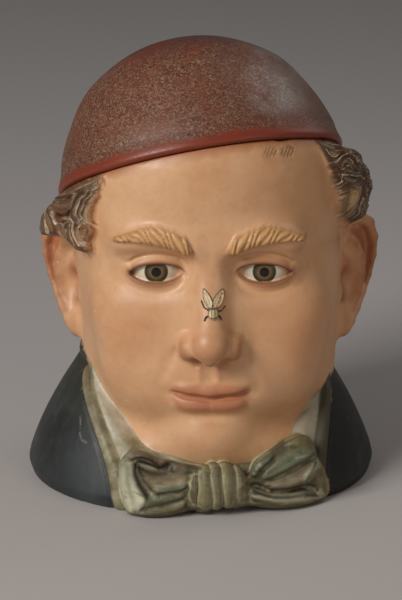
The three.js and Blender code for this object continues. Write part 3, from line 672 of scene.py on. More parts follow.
def loop_sheet(outline, folds):
    sheet = Sheet((-1.0, -5.0), (43.0, 32.0), [spline(row[0]) for row in folds])
    ring = spline(outline + outline[:1])
    a, b = sheet.a, sheet.b
    inside = np.zeros(sheet.size, bool)
    for p, q in zip(ring[:-1], ring[1:]):
        crosses = (p[1] > b) != (q[1] > b)
        rise = q[1] - p[1] if abs(q[1] - p[1]) > 1e-9 else 1e-9
        inside ^= crosses & (a < p[0] + (b - p[1]) * (q[0] - p[0]) / rise)
    far = off_line(a, b, ring)
    sheet.kept["edge"] = np.where(inside, -far, far).astype(np.float32)
    sheet.soft("high", [0.62 * row[1] for row in folds], 1.15)
    for tint in range(5):
        sheet.soft(tint, [1.0 * (row[2] == tint) for row in folds], 2.2)
    return sheet


CLOTH = {-1: loop_sheet(LOOP_LEFT, FOLDS_LEFT), 1: loop_sheet(LOOP_RIGHT, FOLDS_RIGHT)}


def bow(x, y, z):
    c, s = math.cos(DRESS_TURN), math.sin(DRESS_TURN)
    bx, by = x * c + y * s, -x * s + y * c
    kx = bx - BOW_KNOT_X
    left = kx < 0
    away = np.abs(kx)
    span = np.where(left, BOW_SPAN_L, BOW_SPAN_R)
    u = (away - 5) / (span - 5)
    lift = np.where(left, 4.0, 1.5) * smooth(0.15, 0.85, clamp(u, 0, 1))  # the ends stand forward
    f = -by - (BOW_FRONT + lift - BOW_SWEEP * bx * bx)

    def pick(name):
        return np.where(left, CLOTH[-1].read(name, away, z), CLOTH[1].read(name, away, z))

    flat, rel = pick("edge"), pick("high")
    gather = 1 - smooth(0.12, 0.36, u)
    rel = rel - 0.5 * (1 - ridge(z / 2.6 + 1.3 * u)) * gather
    thick = mix(4.4, 5.4, smooth(0, 0.8, u))
    flat = flat - 0.5 + 0.27 * clamp(3 - f, 0, 12)  # the edges fall away behind
    d = meet(flat, np.abs(f + 1.0) - thick - 1.0 - np.where(f > -1, rel, 0), 2.6) * 0.8
    # knot: five uneven pleats
    kz = z - KNOT_Z
    bow_out = 1 - 0.13 * (kz / 7.5) ** 2
    across = (kx + 1.3) / bow_out
    fan = across + 0.4 * np.sin(kz * 0.33 + across * 0.3)
    pleat = ridge(np.interp(fan, (-10.2, -7.6, -2.7, 1.2, 6.1, 10.2), (0, 1, 2, 3, 4, 5)))
    kd = ball(across, -by, kz, (0, BOW_FRONT - 0.4, 0), (11.2, 6.6, 9.6))
    kd = meet(kd, np.abs(kz) - 7.5, 2.5)
    kd = meet(kd, np.abs(across) - 10.2, 2.0)
    kd = (kd - 1.3 * (pleat**0.8 - 0.65) * smooth(46, 52, -by)) * 0.85
    out = join(d, kd, 0.7)
    tie = kd < d
    tints = [np.where(tie, 0, pick(n)) for n in (LEAF, OLIVE, PALE, DRAB, DEEP_SHADE)] + [tie * 1.0]
    return out, np.where(tie, pleat, np.clip(0.5 + rel * 0.2, 0, 1)), tints


# ------------------------------------------------------------------ two worn marks on the brow
def mark_strokes(x, y, z):
    """Short shallow slanting strokes in two small patches, and the patches themselves."""
    total, patch = 0.0, 0.0
    for n, (cx, cz) in enumerate(MARKS):
        a, b = x - cx, z - cz
        inside = (1 - smooth(1.7, 2.7, np.sqrt(a * a * 0.75 + b * b * 1.5))) * (y < -20)
        slant = (a - 0.45 * b) / 1.2
        stroke = 1 - smooth(0.12, 0.32, np.abs(slant - np.floor(slant) - 0.5))
        total = total + inside * stroke
        patch = patch + inside * (0.5 + 0.5 * n)
    return total, patch


# ------------------------------------------------------------------ the whole jar
def subset(test):
    return np.nonzero(test)[0]


def jar(x, y, z, info=None):
    """Distance to the jar's surface at points; info collects what the paint needs."""
    u, v, w = in_seat(x, y, z)
    core = head_core(x, y, z, u, v, w)
    d = core.copy()
    hx = x - HEAD_X
    m = np.abs(hx)
    i = subset((y < -8) & (m < 50) & (z > -1) & (z < 108))
    d[i] = face(d[i], m[i], y[i], z[i])
    if info is not None:
        info["face_i"] = i
    i = subset((y < -20) & (z > 117) & (z < 126) & (x > 18) & (x < 34))
    mark = np.zeros_like(x)
    patch = np.zeros_like(x)
    if len(i):
        mark[i], patch[i] = mark_strokes(x[i], y[i], z[i])
        d[i] = d[i] + 0.26 * mark[i]
    # hair stands off the head
    a = np.abs(bearing(hx, y))
    i = subset((a > 36) & (z > 48) & (w < 6) & (d < 18) & (d > -8))
    rise, amount, lock, comb, tan, hem = hair(x[i], y[i], z[i], w[i])
    d[i] = d[i] - rise
    if info is not None:
        info["mark"], info["patch"] = mark, patch
        for name, value in (("hair", amount), ("lock", lock), ("comb", comb), ("tan", tan), ("hem", hem)):
            full = np.zeros_like(x)
            full[i] = value
            info[name] = full
    # ears
    ears = np.full_like(x, 30.0)
    hole = np.zeros_like(x)
    cup = np.zeros_like(x)
    for side in (-1, 1):
        i = subset((side * hx > 34) & (y > -16) & (y < 34) & (z > 36) & (z < 98))
        if len(i) == 0:
            continue
        ears[i], cup[i], hole[i] = ear(x[i], y[i], z[i], side)
    d = join(d, ears, 2.2)
    # dress
    turned = bearing(x, y, DRESS_TURN)
    t = np.abs(turned)
    i = subset(z < 62)
    outside = np.full_like(x, 30.0)
    band = np.full_like(x, 30.0)
    rough = np.full_like(x, 30.0)
    outside[i] = coat(x[i], y[i], z[i], turned[i], True)
    rough[i] = coat(x[i], y[i], z[i], turned[i], False)
    band[i] = collar(x[i], y[i], z[i], turned[i], True)
    d = join(d, band, 0.7)
    d = join(d, outside, 0.7)
    tie = np.full_like(x, 30.0)
    fold = np.zeros_like(x)
    i = subset((y < -22) & (z < 31))
    tints = [np.zeros_like(x) for _ in range(6)]
    if len(i):
        tie[i], fold[i], part = bow(x[i], y[i], z[i])
        for full, value in zip(tints, part):
            full[i] = value
    d = join(d, tie, 0.6)
    # small dents where the paint has gone from the foot's edge
    chip = smooth(0.8, 1.0, lump(x, y, z, 2.4, 5) + 0.25 * lump(x, y, z, 30, 11)) * smooth(3.2, 1.2, z)
    d = d + 0.6 * chip
    # cut to the lid's seat and the table, then hollowed
    d = meet(d, w, 0.9)
    d = meet(d, -z, 1.1)
    well = meet(join(core, rough, 6) + WALL, FLOOR - z, 7)
    mouth = np.sqrt((u / MOUTH_RU) ** 2 + (v / MOUTH_RV) ** 2) * 43.6 - 43.6
    mouth = np.maximum(mouth, -8 - w)
    well = join(well, mouth, 0.6)
    out = meet(d, -well, 0.8)
    if info is not None:
        info.update(
            core=core, coat=outside, collar=band, bow=tie, fold=fold, ears=ears,
            hole=hole, cup=cup, chip=chip, well=well, w=w, t=t, turned=turned, m=m, dress=d,
            tints=tints,
        )
    return out


# ------------------------------------------------------------------ field to mesh
CORNERS = [(i, j, k) for i in (0, 1) for j in (0, 1) for k in (0, 1)]
EDGES = [
    (p, q)
    for p in range(8)
    for q in range(p + 1, 8)
    if sum(abs(CORNERS[p][n] - CORNERS[q][n]) for n in range(3)) == 1
]


def in_parts(f, x, y, z, size=400_000):
    out = np.empty_like(x)
    for i in range(0, len(x), size):
        s = slice(i, i + size)
        out[s] = f(x[s], y[s], z[s])
    return out


def surface(f, low, high, step, ratio=4, margin=1.6):
    """The zero surface of a field as quads: each cell that the surface crosses gets a point."""
    big = step * ratio
    n = [int(math.ceil((high[k] - low[k]) / big)) for k in range(3)]
    centre = [low[k] + big * (np.arange(n[k]) + 0.5) for k in range(3)]
    gx, gy, gz = (
        g.ravel().astype(np.float32) for g in np.meshgrid(*centre, indexing="ij")
    )
    d = in_parts(f, gx, gy, gz).reshape(n)
    near = np.abs(d) < big * 0.87 + margin
    keep = near
    for axis in range(3):
        keep = np.repeat(keep, ratio, axis)
    flag = np.pad(keep, ((0, 1),) * 3)
    for axis in range(3):
        moved = np.roll(flag, 1, axis)
        flag = flag | moved
    base = np.where(d < 0, -9, 9).astype(np.float32)
    for axis in range(3):
        base = np.repeat(base, ratio, axis)
    vals = np.pad(base, ((0, 1),) * 3, mode="edge")
    i, j, k = np.nonzero(flag)
    vals[flag] = in_parts(
        f,
        (low[0] + i * step).astype(np.float32),
        (low[1] + j * step).astype(np.float32),
        (low[2] + k * step).astype(np.float32),
    )
    s = vals < 0
    shape = tuple(k - 1 for k in s.shape)
    count = np.zeros(shape, np.uint8)
    for a, b, c in CORNERS:
        count += s[a : a + shape[0], b : b + shape[1], c : c + shape[2]]
    active = (count > 0) & (count < 8)
    ci, cj, ck = np.nonzero(active)
    index = np.full(shape, -1, np.int32)
    index[active] = np.arange(len(ci))
    corner = [vals[ci + a, cj + b, ck + c] for a, b, c in CORNERS]
    total = np.zeros((len(ci), 3), np.float32)
    hits = np.zeros(len(ci), np.float32)
    for p, q in EDGES:
        va, vb = corner[p], corner[q]
        cross = (va < 0) != (vb < 0)
        t = np.where(cross, va / np.where(cross, va - vb, 1), 0)
        for n3 in range(3):
            total[:, n3] += np.where(
                cross, CORNERS[p][n3] + t * (CORNERS[q][n3] - CORNERS[p][n3]), 0
            )
        hits += cross
    cell = np.stack([ci, cj, ck], 1)
    verts = (total / hits[:, None] + cell) * step + np.array(low)
    quads = []
    for axis in range(3):
        o1, o2 = [(1, 2), (2, 0), (0, 1)][axis]
        a = [slice(1, -1)] * 3
        b = [slice(1, -1)] * 3
        a[axis], b[axis] = slice(0, -1), slice(1, None)
        first, second = s[tuple(a)], s[tuple(b)]
        e = np.nonzero(first != second)
        inside_first = first[e]
        p = [e[0].copy(), e[1].copy(), e[2].copy()]
        p[o1] = p[o1] + 1
        p[o2] = p[o2] + 1

        def at(s1, s2):
            r = [p[0], p[1], p[2]]
            r[o1] = p[o1] - s1
            r[o2] = p[o2] - s2
            return index[r[0], r[1], r[2]]

        q = np.stack([at(1, 1), at(0, 1), at(0, 0), at(1, 0)], 1)
        q[~inside_first] = q[~inside_first][:, ::-1]
        quads.append(q)
    return verts, np.concatenate(quads)


def gradient(f, p, h):
    p = p.astype(np.float32)
    g = np.empty((len(p), 3), np.float32)
    total = np.zeros(len(p), np.float32)
    for axis in range(3):
        a, b = p.copy(), p.copy()
        a[:, axis] -= h
        b[:, axis] += h
        da = in_parts(f, a[:, 0], a[:, 1], a[:, 2])
        db = in_parts(f, b[:, 0], b[:, 1], b[:, 2])
        g[:, axis] = (db - da) / (2 * h)
        total += da + db
    return g, total


def settle(f, p, h=0.15, rounds=1, most=0.35):
    for _ in range(rounds):
        q = p.astype(np.float32)
        d = in_parts(f, q[:, 0], q[:, 1], q[:, 2])
        g, _ = gradient(f, p, h)
        size = np.maximum((g * g).sum(1), 0.2)
        step = g * (d / size)[:, None]
        length = np.linalg.norm(step, axis=1)
        step *= np.minimum(1, most / np.maximum(length, 1e-9))[:, None]
        p = p - step
    return p


def mesh_from(name, verts, faces):
    mesh = bpy.data.meshes.new(name)
    mesh.vertices.add(len(verts))
    mesh.vertices.foreach_set("co", np.asarray(verts, np.float32).ravel())
    size = faces.shape[1]
    mesh.loops.add(len(faces) * size)
    mesh.loops.foreach_set("vertex_index", faces.astype(np.int32).ravel())
    mesh.polygons.add(len(faces))
    mesh.polygons.foreach_set("loop_start", np.arange(len(faces), dtype=np.int32) * size)
    mesh.update(calc_edges=True)
    mesh.validate()
    return mesh


def triangles_of(quads, verts):
    a, b, c, d = (verts[quads[:, k]] for k in range(4))
    short = ((a - c) ** 2).sum(1) < ((b - d) ** 2).sum(1)
    first = np.where(short[:, None], quads[:, [0, 1, 2]], quads[:, [1, 2, 3]])
    second = np.where(short[:, None], quads[:, [0, 2, 3]], quads[:, [1, 3, 0]])
    return np.concatenate([first, second])


def thinned(name, verts, tris, target, weight):
    """The same surface with fewer triangles, kept dense where the weight is low."""
    if len(tris) <= target:
        return verts, tris
    mesh = mesh_from(name, verts, tris)
    obj = bpy.data.objects.new(name, mesh)
    bpy.context.scene.collection.objects.link(obj)
    group = obj.vertex_groups.new(name="thin")
    levels = np.round(clamp(weight, 0, 1) * 10).astype(int)
    for level in range(11):
        chosen = np.nonzero(levels == level)[0]
        if len(chosen):
            group.add(chosen.tolist(), level / 10, "REPLACE")
    mod = obj.modifiers.new("thin", "DECIMATE")
    mod.decimate_type = "COLLAPSE"
    mod.ratio = target / len(tris)
    mod.use_collapse_triangulate = True
    mod.vertex_group = "thin"
    mod.vertex_group_factor = 1.0
    done = obj.evaluated_get(bpy.context.evaluated_depsgraph_get())
    out = done.to_mesh()
    out.calc_loop_triangles()
    v = np.empty(len(out.vertices) * 3, np.float32)
    out.vertices.foreach_get("co", v)
    f = np.empty(len(out.loop_triangles) * 3, np.int32)
    out.loop_triangles.foreach_get("vertices", f)
    done.to_mesh_clear()
    bpy.data.objects.remove(obj)
    bpy.data.meshes.remove(mesh)
    return v.reshape(-1, 3).astype(float), f.reshape(-1, 3)


def one_piece(verts, tris):
    """The largest connected part."""
    label = np.arange(len(verts))
    while True:
        least = label[tris].min(1)
        new = label.copy()
        for k in range(3):
            np.minimum.at(new, tris[:, k], least)
        new = new[new]
        if (new == label).all():
            break
        label = new
    tris = tris[label[tris[:, 0]] == np.bincount(label).argmax()]
    used = np.unique(tris)
    back = np.zeros(len(verts), int)
    back[used] = np.arange(len(used))
    return verts[used], back[tris]


def unfolded(f, verts, tris, rounds=10):
    """Eases points whose triangles face the wrong way or pinch together."""
    g = gradient(f, verts, 0.3)[0]
    pairs = np.sort(np.concatenate([tris[:, [0, 1]], tris[:, [1, 2]], tris[:, [2, 0]]]), axis=1)
    keys, shared = np.unique(pairs[:, 0].astype(np.int64) * len(verts) + pairs[:, 1], return_counts=True)
    a, b = keys // len(verts), keys % len(verts)
    pinched = np.zeros(len(verts), bool)
    pinched[a[shared != 2]] = True
    pinched[b[shared != 2]] = True
    ring = np.unique(tris[pinched[tris].any(1)])
    pinched[ring[verts[ring, 2] < 50]] = True
    count = np.zeros(len(verts))
    np.add.at(count, a, 1)
    np.add.at(count, b, 1)
    for _ in range(rounds):
        p = verts[tris]
        out = np.cross(p[:, 1] - p[:, 0], p[:, 2] - p[:, 0])
        touched = pinched.copy()
        touched[tris[(out * g[tris].mean(1)).sum(1) < 0]] = True
        total = np.zeros_like(verts)
        np.add.at(total, a, verts[b])
        np.add.at(total, b, verts[a])
        verts = np.where(touched[:, None], total / np.maximum(count, 1)[:, None], verts)
    return verts


def put_attribute(mesh, name, values):
    att = mesh.attributes.new(name, "FLOAT", "POINT")
    att.data.foreach_set("value", np.asarray(values, np.float32))


def new_piece(name, mesh, material, node):
    obj = bpy.data.objects.new(name, mesh)
    bpy.context.scene.collection.objects.link(obj)
    mesh.polygons.foreach_set("use_smooth", [True] * len(mesh.polygons))
    mesh.materials.append(material)
    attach(obj, "root")
    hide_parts(node)
    return obj


def to_frame(points):
    return (points + SHIFT) * 0.001


# ------------------------------------------------------------------ material helpers
class Paint:
    """Short names for building a shader."""

    def __init__(self, name):
        self.mat = bpy.data.materials.new(name)
        self.mat.use_nodes = True
        self.tree = self.mat.node_tree
        self.tree.nodes.clear()
        self.out = self.tree.nodes.new("ShaderNodeOutputMaterial")
        self.bsdf = self.tree.nodes.new("ShaderNodeBsdfPrincipled")
        self.link(self.bsdf.outputs[0], self.out.inputs["Surface"])
        self.coord = self.tree.nodes.new("ShaderNodeTexCoord").outputs["Object"]

    def link(self, a, b):
        self.tree.links.new(a, b)

    def put(self, socket, value):
        if hasattr(value, "is_output"):
            self.link(value, socket)
        elif isinstance(value, (tuple, list)):
            socket.default_value = tuple(value) + ((1.0,) if len(value) == 3 and len(socket.default_value) == 4 else ())
        else:
            socket.default_value = value

    def attr(self, name):
        n = self.tree.nodes.new("ShaderNodeAttribute")
        n.attribute_name = name
        return n.outputs["Fac"]

    def math(self, op, a, b=0.0, clamp_it=False):
        n = self.tree.nodes.new("ShaderNodeMath")
        n.operation = op
        n.use_clamp = clamp_it
        self.put(n.inputs[0], a)
        self.put(n.inputs[1], b)
        return n.outputs[0]

    def scaled(self, sx, sy, sz, turn=(0, 0, 0)):
        n = self.tree.nodes.new("ShaderNodeMapping")
        n.inputs["Scale"].default_value = (sx, sy, sz)
        n.inputs["Rotation"].default_value = turn
        self.link(self.coord, n.inputs["Vector"])
        return n.outputs[0]

    def noise(self, scale, detail=4.0, rough=0.55, vector=None, distortion=0.0):
        n = self.tree.nodes.new("ShaderNodeTexNoise")
        n.inputs["Scale"].default_value = scale
        n.inputs["Detail"].default_value = detail
        n.inputs["Roughness"].default_value = rough
        n.inputs["Distortion"].default_value = distortion
        self.link(vector or self.coord, n.inputs["Vector"])
        return n.outputs["Fac"]

    def cells(self, scale, vector=None):
        n = self.tree.nodes.new("ShaderNodeTexVoronoi")
        n.inputs["Scale"].default_value = scale
        self.link(vector or self.coord, n.inputs["Vector"])
        return n.outputs["Distance"]

    def range(self, v, a, b, c=0.0, d=1.0, soft=True):
        n = self.tree.nodes.new("ShaderNodeMapRange")
        n.interpolation_type = "SMOOTHSTEP" if soft else "LINEAR"
        n.inputs["From Min"].default_value = a
        n.inputs["From Max"].default_value = b
        n.inputs["To Min"].default_value = c
        n.inputs["To Max"].default_value = d
        self.put(n.inputs["Value"], v)
        return n.outputs[0]

    def mix(self, fac, a, b, kind="MIX"):
        n = self.tree.nodes.new("ShaderNodeMix")
        n.data_type = "RGBA"
        n.blend_type = kind
        self.put(n.inputs[0], fac)
        self.put(n.inputs[6], a)
        self.put(n.inputs[7], b)
        return n.outputs[2]

    def blend(self, fac, a, b):
        n = self.tree.nodes.new("ShaderNodeMix")
        n.data_type = "FLOAT"
        self.put(n.inputs[0], fac)
        self.put(n.inputs[2], a)
        self.put(n.inputs[3], b)
        return n.outputs[0]

    def bump(self, height, strength, distance, normal=None):
        n = self.tree.nodes.new("ShaderNodeBump")
        n.inputs["Strength"].default_value = strength
        n.inputs["Distance"].default_value = distance
        self.put(n.inputs["Height"], height)
        if normal is not None:
            self.link(normal, n.inputs["Normal"])
        return n.outputs[0]

    def xyz(self):
        n = self.tree.nodes.new("ShaderNodeSeparateXYZ")
        self.link(self.coord, n.inputs[0])
        return n.outputs[0], n.outputs[1], n.outputs[2]


def srgb(r, g, b):
    """A colour given as 0 to 255, for a shader."""
    return tuple(
        (c / 255 / 12.92) if c / 255 <= 0.04045 else ((c / 255 + 0.055) / 1.055) ** 2.4
        for c in (r, g, b)
    )


# ------------------------------------------------------------------ jar: mesh and masks
def scratch_off(z, turned):
    """Distance in millimetres from a thin scratch on the coat's left side."""
    return np.abs(along(-turned * 0.82, z, SCRATCH)[1])


SCRATCH = np.array([(50.4, 27.1), (49.0, 24.8), (48.2, 22.3), (46.6, 20.5), (44.4, 20.0)])

low, high = (-67.25, -67.25, -1.75), (67.0, 67.0, 128.0)
verts, quads = surface(jar, low, high, STEP)
verts = settle(jar, verts)
tris = triangles_of(quads, verts)

# keep fine carving dense, let smooth cloth and the inside thin out
info = {}
p32 = verts.astype(np.float32)
jar(p32[:, 0], p32[:, 1], p32[:, 2], info)
outer = smooth(-1.0, 0.6, info["dress"] * -1 + 0.5)
is_well = np.abs(info["well"]) < 0.6
fine = np.zeros(len(verts))
fine = np.maximum(fine, info["hair"] * mix(1.0, 0.6, smooth(10, 30, p32[:, 1])))
fine = np.maximum(fine, smooth(0.0, 0.3, info["patch"]))
fine = np.maximum(fine, smooth(1.5, 0.3, info["bow"]))
fine = np.maximum(fine, smooth(1.5, 0.3, info["ears"]) * 0.9)
in_face = np.zeros(len(verts))
in_face[info["face_i"]] = 1
fine = np.maximum(fine, in_face * 0.85 * (p32[:, 1] < -30))
edge = np.abs(info["t"] - lapel_edge(p32[:, 2], info["turned"]) - 2)
fine = np.maximum(fine, smooth(7, 3, edge) * (p32[:, 2] < 44) * 0.8)
fine = np.maximum(fine, smooth(5, 2, scratch_off(p32[:, 2], info["turned"])))
fine = np.where(is_well, 0.0, fine)
verts, tris = one_piece(*thinned("jar_thin", verts, tris, JAR_TRIANGLES, 1 - 0.9 * fine))
verts = settle(jar, verts, most=0.2)
verts = unfolded(jar, verts, tris)
verts[np.abs(verts[:, 2]) < 0.12, 2] = 0.0
verts[:, 2] = np.maximum(verts[:, 2], 0.0)

p32 = verts.astype(np.float32)
info = {}
d0 = jar(p32[:, 0], p32[:, 1], p32[:, 2], info)
g, total = gradient(jar, verts, 0.9)
bend = (total - 6 * d0) / (0.9 * 0.9)
bend_wide = (gradient(jar, verts, 2.4)[1] - 6 * d0) / (2.4 * 2.4)

x, y, z = p32.T
m, t, w = info["m"], info["t"], info["w"]
edge = lapel_edge(z, info["turned"])
raw = np.maximum(
    smooth(0.7, 0.2, np.abs(info["well"])),
    np.maximum(smooth(-0.3, -0.05, w), smooth(0.2, 0.02, z)),
)
raw = np.maximum(raw, smooth(0.25, 0.7, info["chip"]) * (z < 5))
on_bow = smooth(0.7, 0.1, info["bow"])
on_coat = smooth(0.6, 0.1, info["coat"]) * (1 - on_bow)
climb = 8 * smooth(58, 64, t) * (1 - smooth(92, 116, t)) * (info["turned"] < 0)
over = smooth(0.6, -0.6, z - collar_top(info["turned"]) + COLLAR_BARE - climb) * (climb > 0.01)
on_coat = np.maximum(on_coat, over * smooth(0.42, 0.1, info["collar"]) * (1 - on_bow))
on_collar = smooth(0.42, 0.1, info["collar"]) * (1 - on_coat) * (1 - on_bow)
lapel = on_coat * smooth(edge - 2.2, edge - 1.0, t) * (1 - smooth(edge + 3.6, edge + 4.8, t))
lapel = lapel * mix(1, 0.4, smooth(38, 44, z))
shirt = on_coat * (1 - smooth(edge - 1.2, edge, t))
on_collar = np.maximum(on_collar, shirt * smooth(20, 27, z + 2 * (x > 0)))
# where a painted sheen lies low on the coat's left side
painted_sheen = on_coat * smooth(26, 8, z) * gauss(t - edge - 14, 11) * (info["turned"] < 0)
scratch = on_coat * gauss(scratch_off(z, info["turned"]), 0.26)
slit, up, lowlid = eye_slit(m, z)
eyeball = smooth(0.35, 0.05, np.abs(ball(m, y, z, EYE, (EYE_R,) * 3))) * smooth(
    0.5, -0.1, slit
) * (y < -34)
lid_line = np.maximum(gauss(z - up - 0.25, 0.5), 0.55 * gauss(z - lowlid + 0.2, 0.4))
lid_line = lid_line * (1 - smooth(9.0, 10.4, np.abs(m - 17.9))) * (y < -33) * (np.abs(z - EYE_Z) < 6)
brow, stroke = brow_shape(m, z)
brow = brow * (y < -28)
line = lip_line(m)
upper = smooth(MOUTH_Z + 5.4, MOUTH_Z + 4.2, z + 1.1 * gauss(m, 1.6) + 0.018 * m * m)
lower = smooth(MOUTH_Z - 6.6, MOUTH_Z - 5.4, z - 0.020 * m * m)
lip = upper * lower * (1 - smooth(11.5, 14.5, m)) * (y < -38)
hair_mask = np.where(x > 0, smooth(0.10, 0.32, info["hair"]), smooth(0.4, 0.6, info["hair"])) * (info["ears"] > 0.5) * (1 - on_collar) * (1 - on_coat)
skin_warm = np.maximum(
    gauss(np.sqrt((m - 25) ** 2 + (z - 60) ** 2), 13) * (y < -15),
    gauss(np.sqrt(m**2 * 0.8 + (z - 59) ** 2), 9) * (y < -45),
)
skin_warm = np.maximum(skin_warm, 0.3 * smooth(1.0, 0.0, info["ears"]))

jar_mesh = mesh_from("painted_bust", to_frame(verts), tris)
masks = {
    "raw": raw,
    "bow": on_bow,
    "fold": info["fold"],
    "coat": on_coat,
    "lapel": lapel,
    "shirt": shirt,
    "collar": on_collar,
    "eye": eyeball,
    "brow": brow,
    "stroke": stroke,
    "lip": lip,
    "hair": hair_mask,
    "lock": info["lock"],
    "comb": info["comb"],
    "tan": info["tan"],
    "hem": info["hem"],
    "mark": info["mark"],
    "patch": info["patch"],
    "warm": skin_warm,
    "hole": info["hole"],
    "cup": info["cup"],
    "lid_line": lid_line,
    "painted_sheen": painted_sheen,
    "scratch": scratch,
    "leaf": info["tints"][0],
    "olive": info["tints"][1],
    "ends": info["tints"][2],
    "drab": info["tints"][3],
    "deep_fold_shade": info["tints"][4],
    "knot": info["tints"][5],
    # painted shade in creases and broad hollows, and painted highlight on ridges, from how the surface bends
    "crease_shade": np.clip(bend * 0.55, 0, 1),
    "ridge": np.clip(-bend * 0.55, 0, 1),
    "hollow_shade": np.clip(bend_wide * 1.6, 0, 1),
}
for name, values in masks.items():
    put_attribute(jar_mesh, name, values)


# ------------------------------------------------------------------ jar: paint
def jar_paint():
    p = Paint("painted_terracotta")
    px, py, pz = p.xyz()
    big = p.noise(38, 3)
    mid = p.noise(160, 4)
    small = p.noise(420, 4, 0.6)
    fine = p.noise(900, 3)
    painted_crease_shade, ridge_highlight, hollow_shade = p.attr("crease_shade"), p.attr("ridge"), p.attr("hollow_shade")

    def part(a, b):
        return p.math("MULTIPLY", a, b)

    # skin
    skin = p.mix(p.range(big, 0.35, 0.68), srgb(216, 171, 130), srgb(208, 158, 115))
    skin = p.mix(part(p.range(p.noise(85, 5, 0.6), 0.46, 0.7), 0.35), skin, srgb(198, 144, 102))
    skin = p.mix(part(p.range(mid, 0.4, 0.7), 0.35), skin, srgb(220, 178, 136))
    skin = p.mix(part(p.range(small, 0.5, 0.66), 0.16), skin, srgb(186, 134, 94))
    skin = p.mix(part(p.attr("warm"), 0.24), skin, srgb(206, 134, 90))
    # painted shade: the skin warmer and browner towards the right side
    skin = p.mix(part(p.range(px, -0.005, 0.045), 0.25), skin, srgb(206, 142, 90))
    # painted shade in the skin's hollows and creases
    skin = p.mix(part(hollow_shade, 0.5), skin, srgb(172, 98, 58))
    skin = p.mix(part(painted_crease_shade, 0.7), skin, srgb(124, 66, 38))
    # the ear's hollows: redder paint with painted shade, and the ear hole's painted shadow
    skin = p.mix(part(p.attr("cup"), 0.72), skin, srgb(154, 76, 42))
    skin = p.mix(part(p.attr("hole"), 0.85), skin, srgb(70, 34, 20))
    skin = p.mix(part(p.attr("lip"), 0.45), skin, srgb(190, 112, 84))
    skin = p.mix(part(p.attr("lid_line"), 0.75), skin, srgb(96, 54, 32))
    bare = part(p.range(p.cells(170), 0.085, 0.05), p.range(p.noise(55, 2), 0.58, 0.66))
    skin = p.mix(part(bare, 0.6), skin, srgb(232, 214, 186))
    speck = p.range(p.cells(260), 0.10, 0.06)
    skin = p.mix(part(part(speck, p.range(mid, 0.56, 0.66)), 0.35), skin, srgb(130, 84, 52))
    # two worn marks on the brow
    skin = p.mix(part(p.attr("patch"), part(p.range(small, 0.35, 0.6), 0.4)), skin, srgb(150, 118, 90))
    skin = p.mix(part(p.attr("mark"), 0.45), skin, srgb(110, 72, 46))
    # brows
    hairs = p.mix(p.attr("stroke"), srgb(160, 108, 62), srgb(214, 168, 112))
    hairs = p.mix(part(p.range(mid, 0.5, 0.7), 0.5), hairs, srgb(186, 124, 70))
    col = p.mix(part(p.range(p.attr("brow"), 0.3, 0.75), 0.9), skin, hairs)
    # hair: grey-brown, darker on the right side as painted shade, with reddish painted shade in the hollows, painted
    # shade in the grooves, and thin pale lines of paint along the locks' crests that stand as painted highlights
    lock, tan, hem = p.attr("lock"), p.attr("tan"), p.attr("hem")
    comb = p.math("ADD", p.attr("comb"), p.range(mid, 0.3, 0.7, -0.2, 0.2))
    lines = p.math("ABSOLUTE", p.math("SUBTRACT", p.math("FRACT", part(comb, 0.5)), 0.5))
    thin = p.math("ABSOLUTE", p.math("SUBTRACT", p.math("FRACT", part(comb, 1.5)), 0.5))
    shade = p.mix(p.range(big, 0.35, 0.65), srgb(138, 105, 75), srgb(108, 78, 53))
    # painted shade: the hair darker on the right side
    shade = p.mix(p.range(px, 0.0, 0.04), shade, srgb(82, 56, 35))
    gold = p.mix(p.range(px, 0.0, 0.03), srgb(190, 138, 84), srgb(226, 184, 126))
    shade = p.mix(part(tan, 0.78), shade, gold)
    shade = p.mix(part(p.range(thin, 0.25, 0.48), 0.35), shade, srgb(78, 54, 38))
    # painted shade in the grooves between strands
    shade = p.mix(part(p.range(lines, 0.32, 0.48), p.range(tan, 0.2, 0.9, 0.45, 0.75)), shade, srgb(66, 42, 26))
    # painted shade where the locks sink, darker on the right side
    low = part(p.range(lock, 0.5, 0.0), p.range(hem, 0.0, 0.8, 0.75, 0.15))
    shade = p.mix(low, shade, p.mix(p.range(px, -0.01, 0.02), srgb(108, 55, 26), srgb(66, 38, 22)))
    # reddish painted shade in the hair's hollows and dark painted shade in its creases
    shade = p.mix(part(hollow_shade, 0.35), shade, srgb(108, 56, 30))
    shade = p.mix(part(painted_crease_shade, 0.6), shade, srgb(46, 28, 18))
    # thin pale lines along the strands' crests: cream paint laid as painted highlights
    broken = p.range(p.noise(260, 3), 0.40, 0.54)
    pale_highlight = part(part(p.range(lines, 0.13, 0.04), broken), p.range(lock, 0.3, 0.7))
    shade = p.mix(part(pale_highlight, 0.68), shade, srgb(212, 194, 160))
    # the rust at the hair's front edge is darker on the right side as painted shade
    rust = p.mix(p.range(px, 0.0, 0.03), srgb(186, 122, 72), srgb(138, 90, 48))
    shade = p.mix(part(hem, p.range(small, 0.36, 0.6, 0.2, 0.8)), shade, rust)
    # painted highlight on the hair's raised ridges
    shade = p.mix(part(part(ridge_highlight, p.range(mid, 0.42, 0.6)), 0.5), shade, srgb(206, 188, 158))
    col = p.mix(p.attr("hair"), col, shade)
    # collar
    white = p.mix(p.range(mid, 0.3, 0.7), srgb(212, 207, 190), srgb(188, 181, 160))
    white = p.mix(part(p.range(small, 0.52, 0.66), 0.35), white, srgb(156, 146, 116))
    # painted shade: the collar darker and greyer on the right side
    white = p.mix(part(p.range(px, 0.005, 0.03), 0.8), white, srgb(158, 148, 126))
    # painted shade in the collar's creases and hollows
    white = p.mix(part(painted_crease_shade, 0.7), white, srgb(112, 96, 64))
    white = p.mix(part(hollow_shade, 0.4), white, srgb(140, 130, 100))
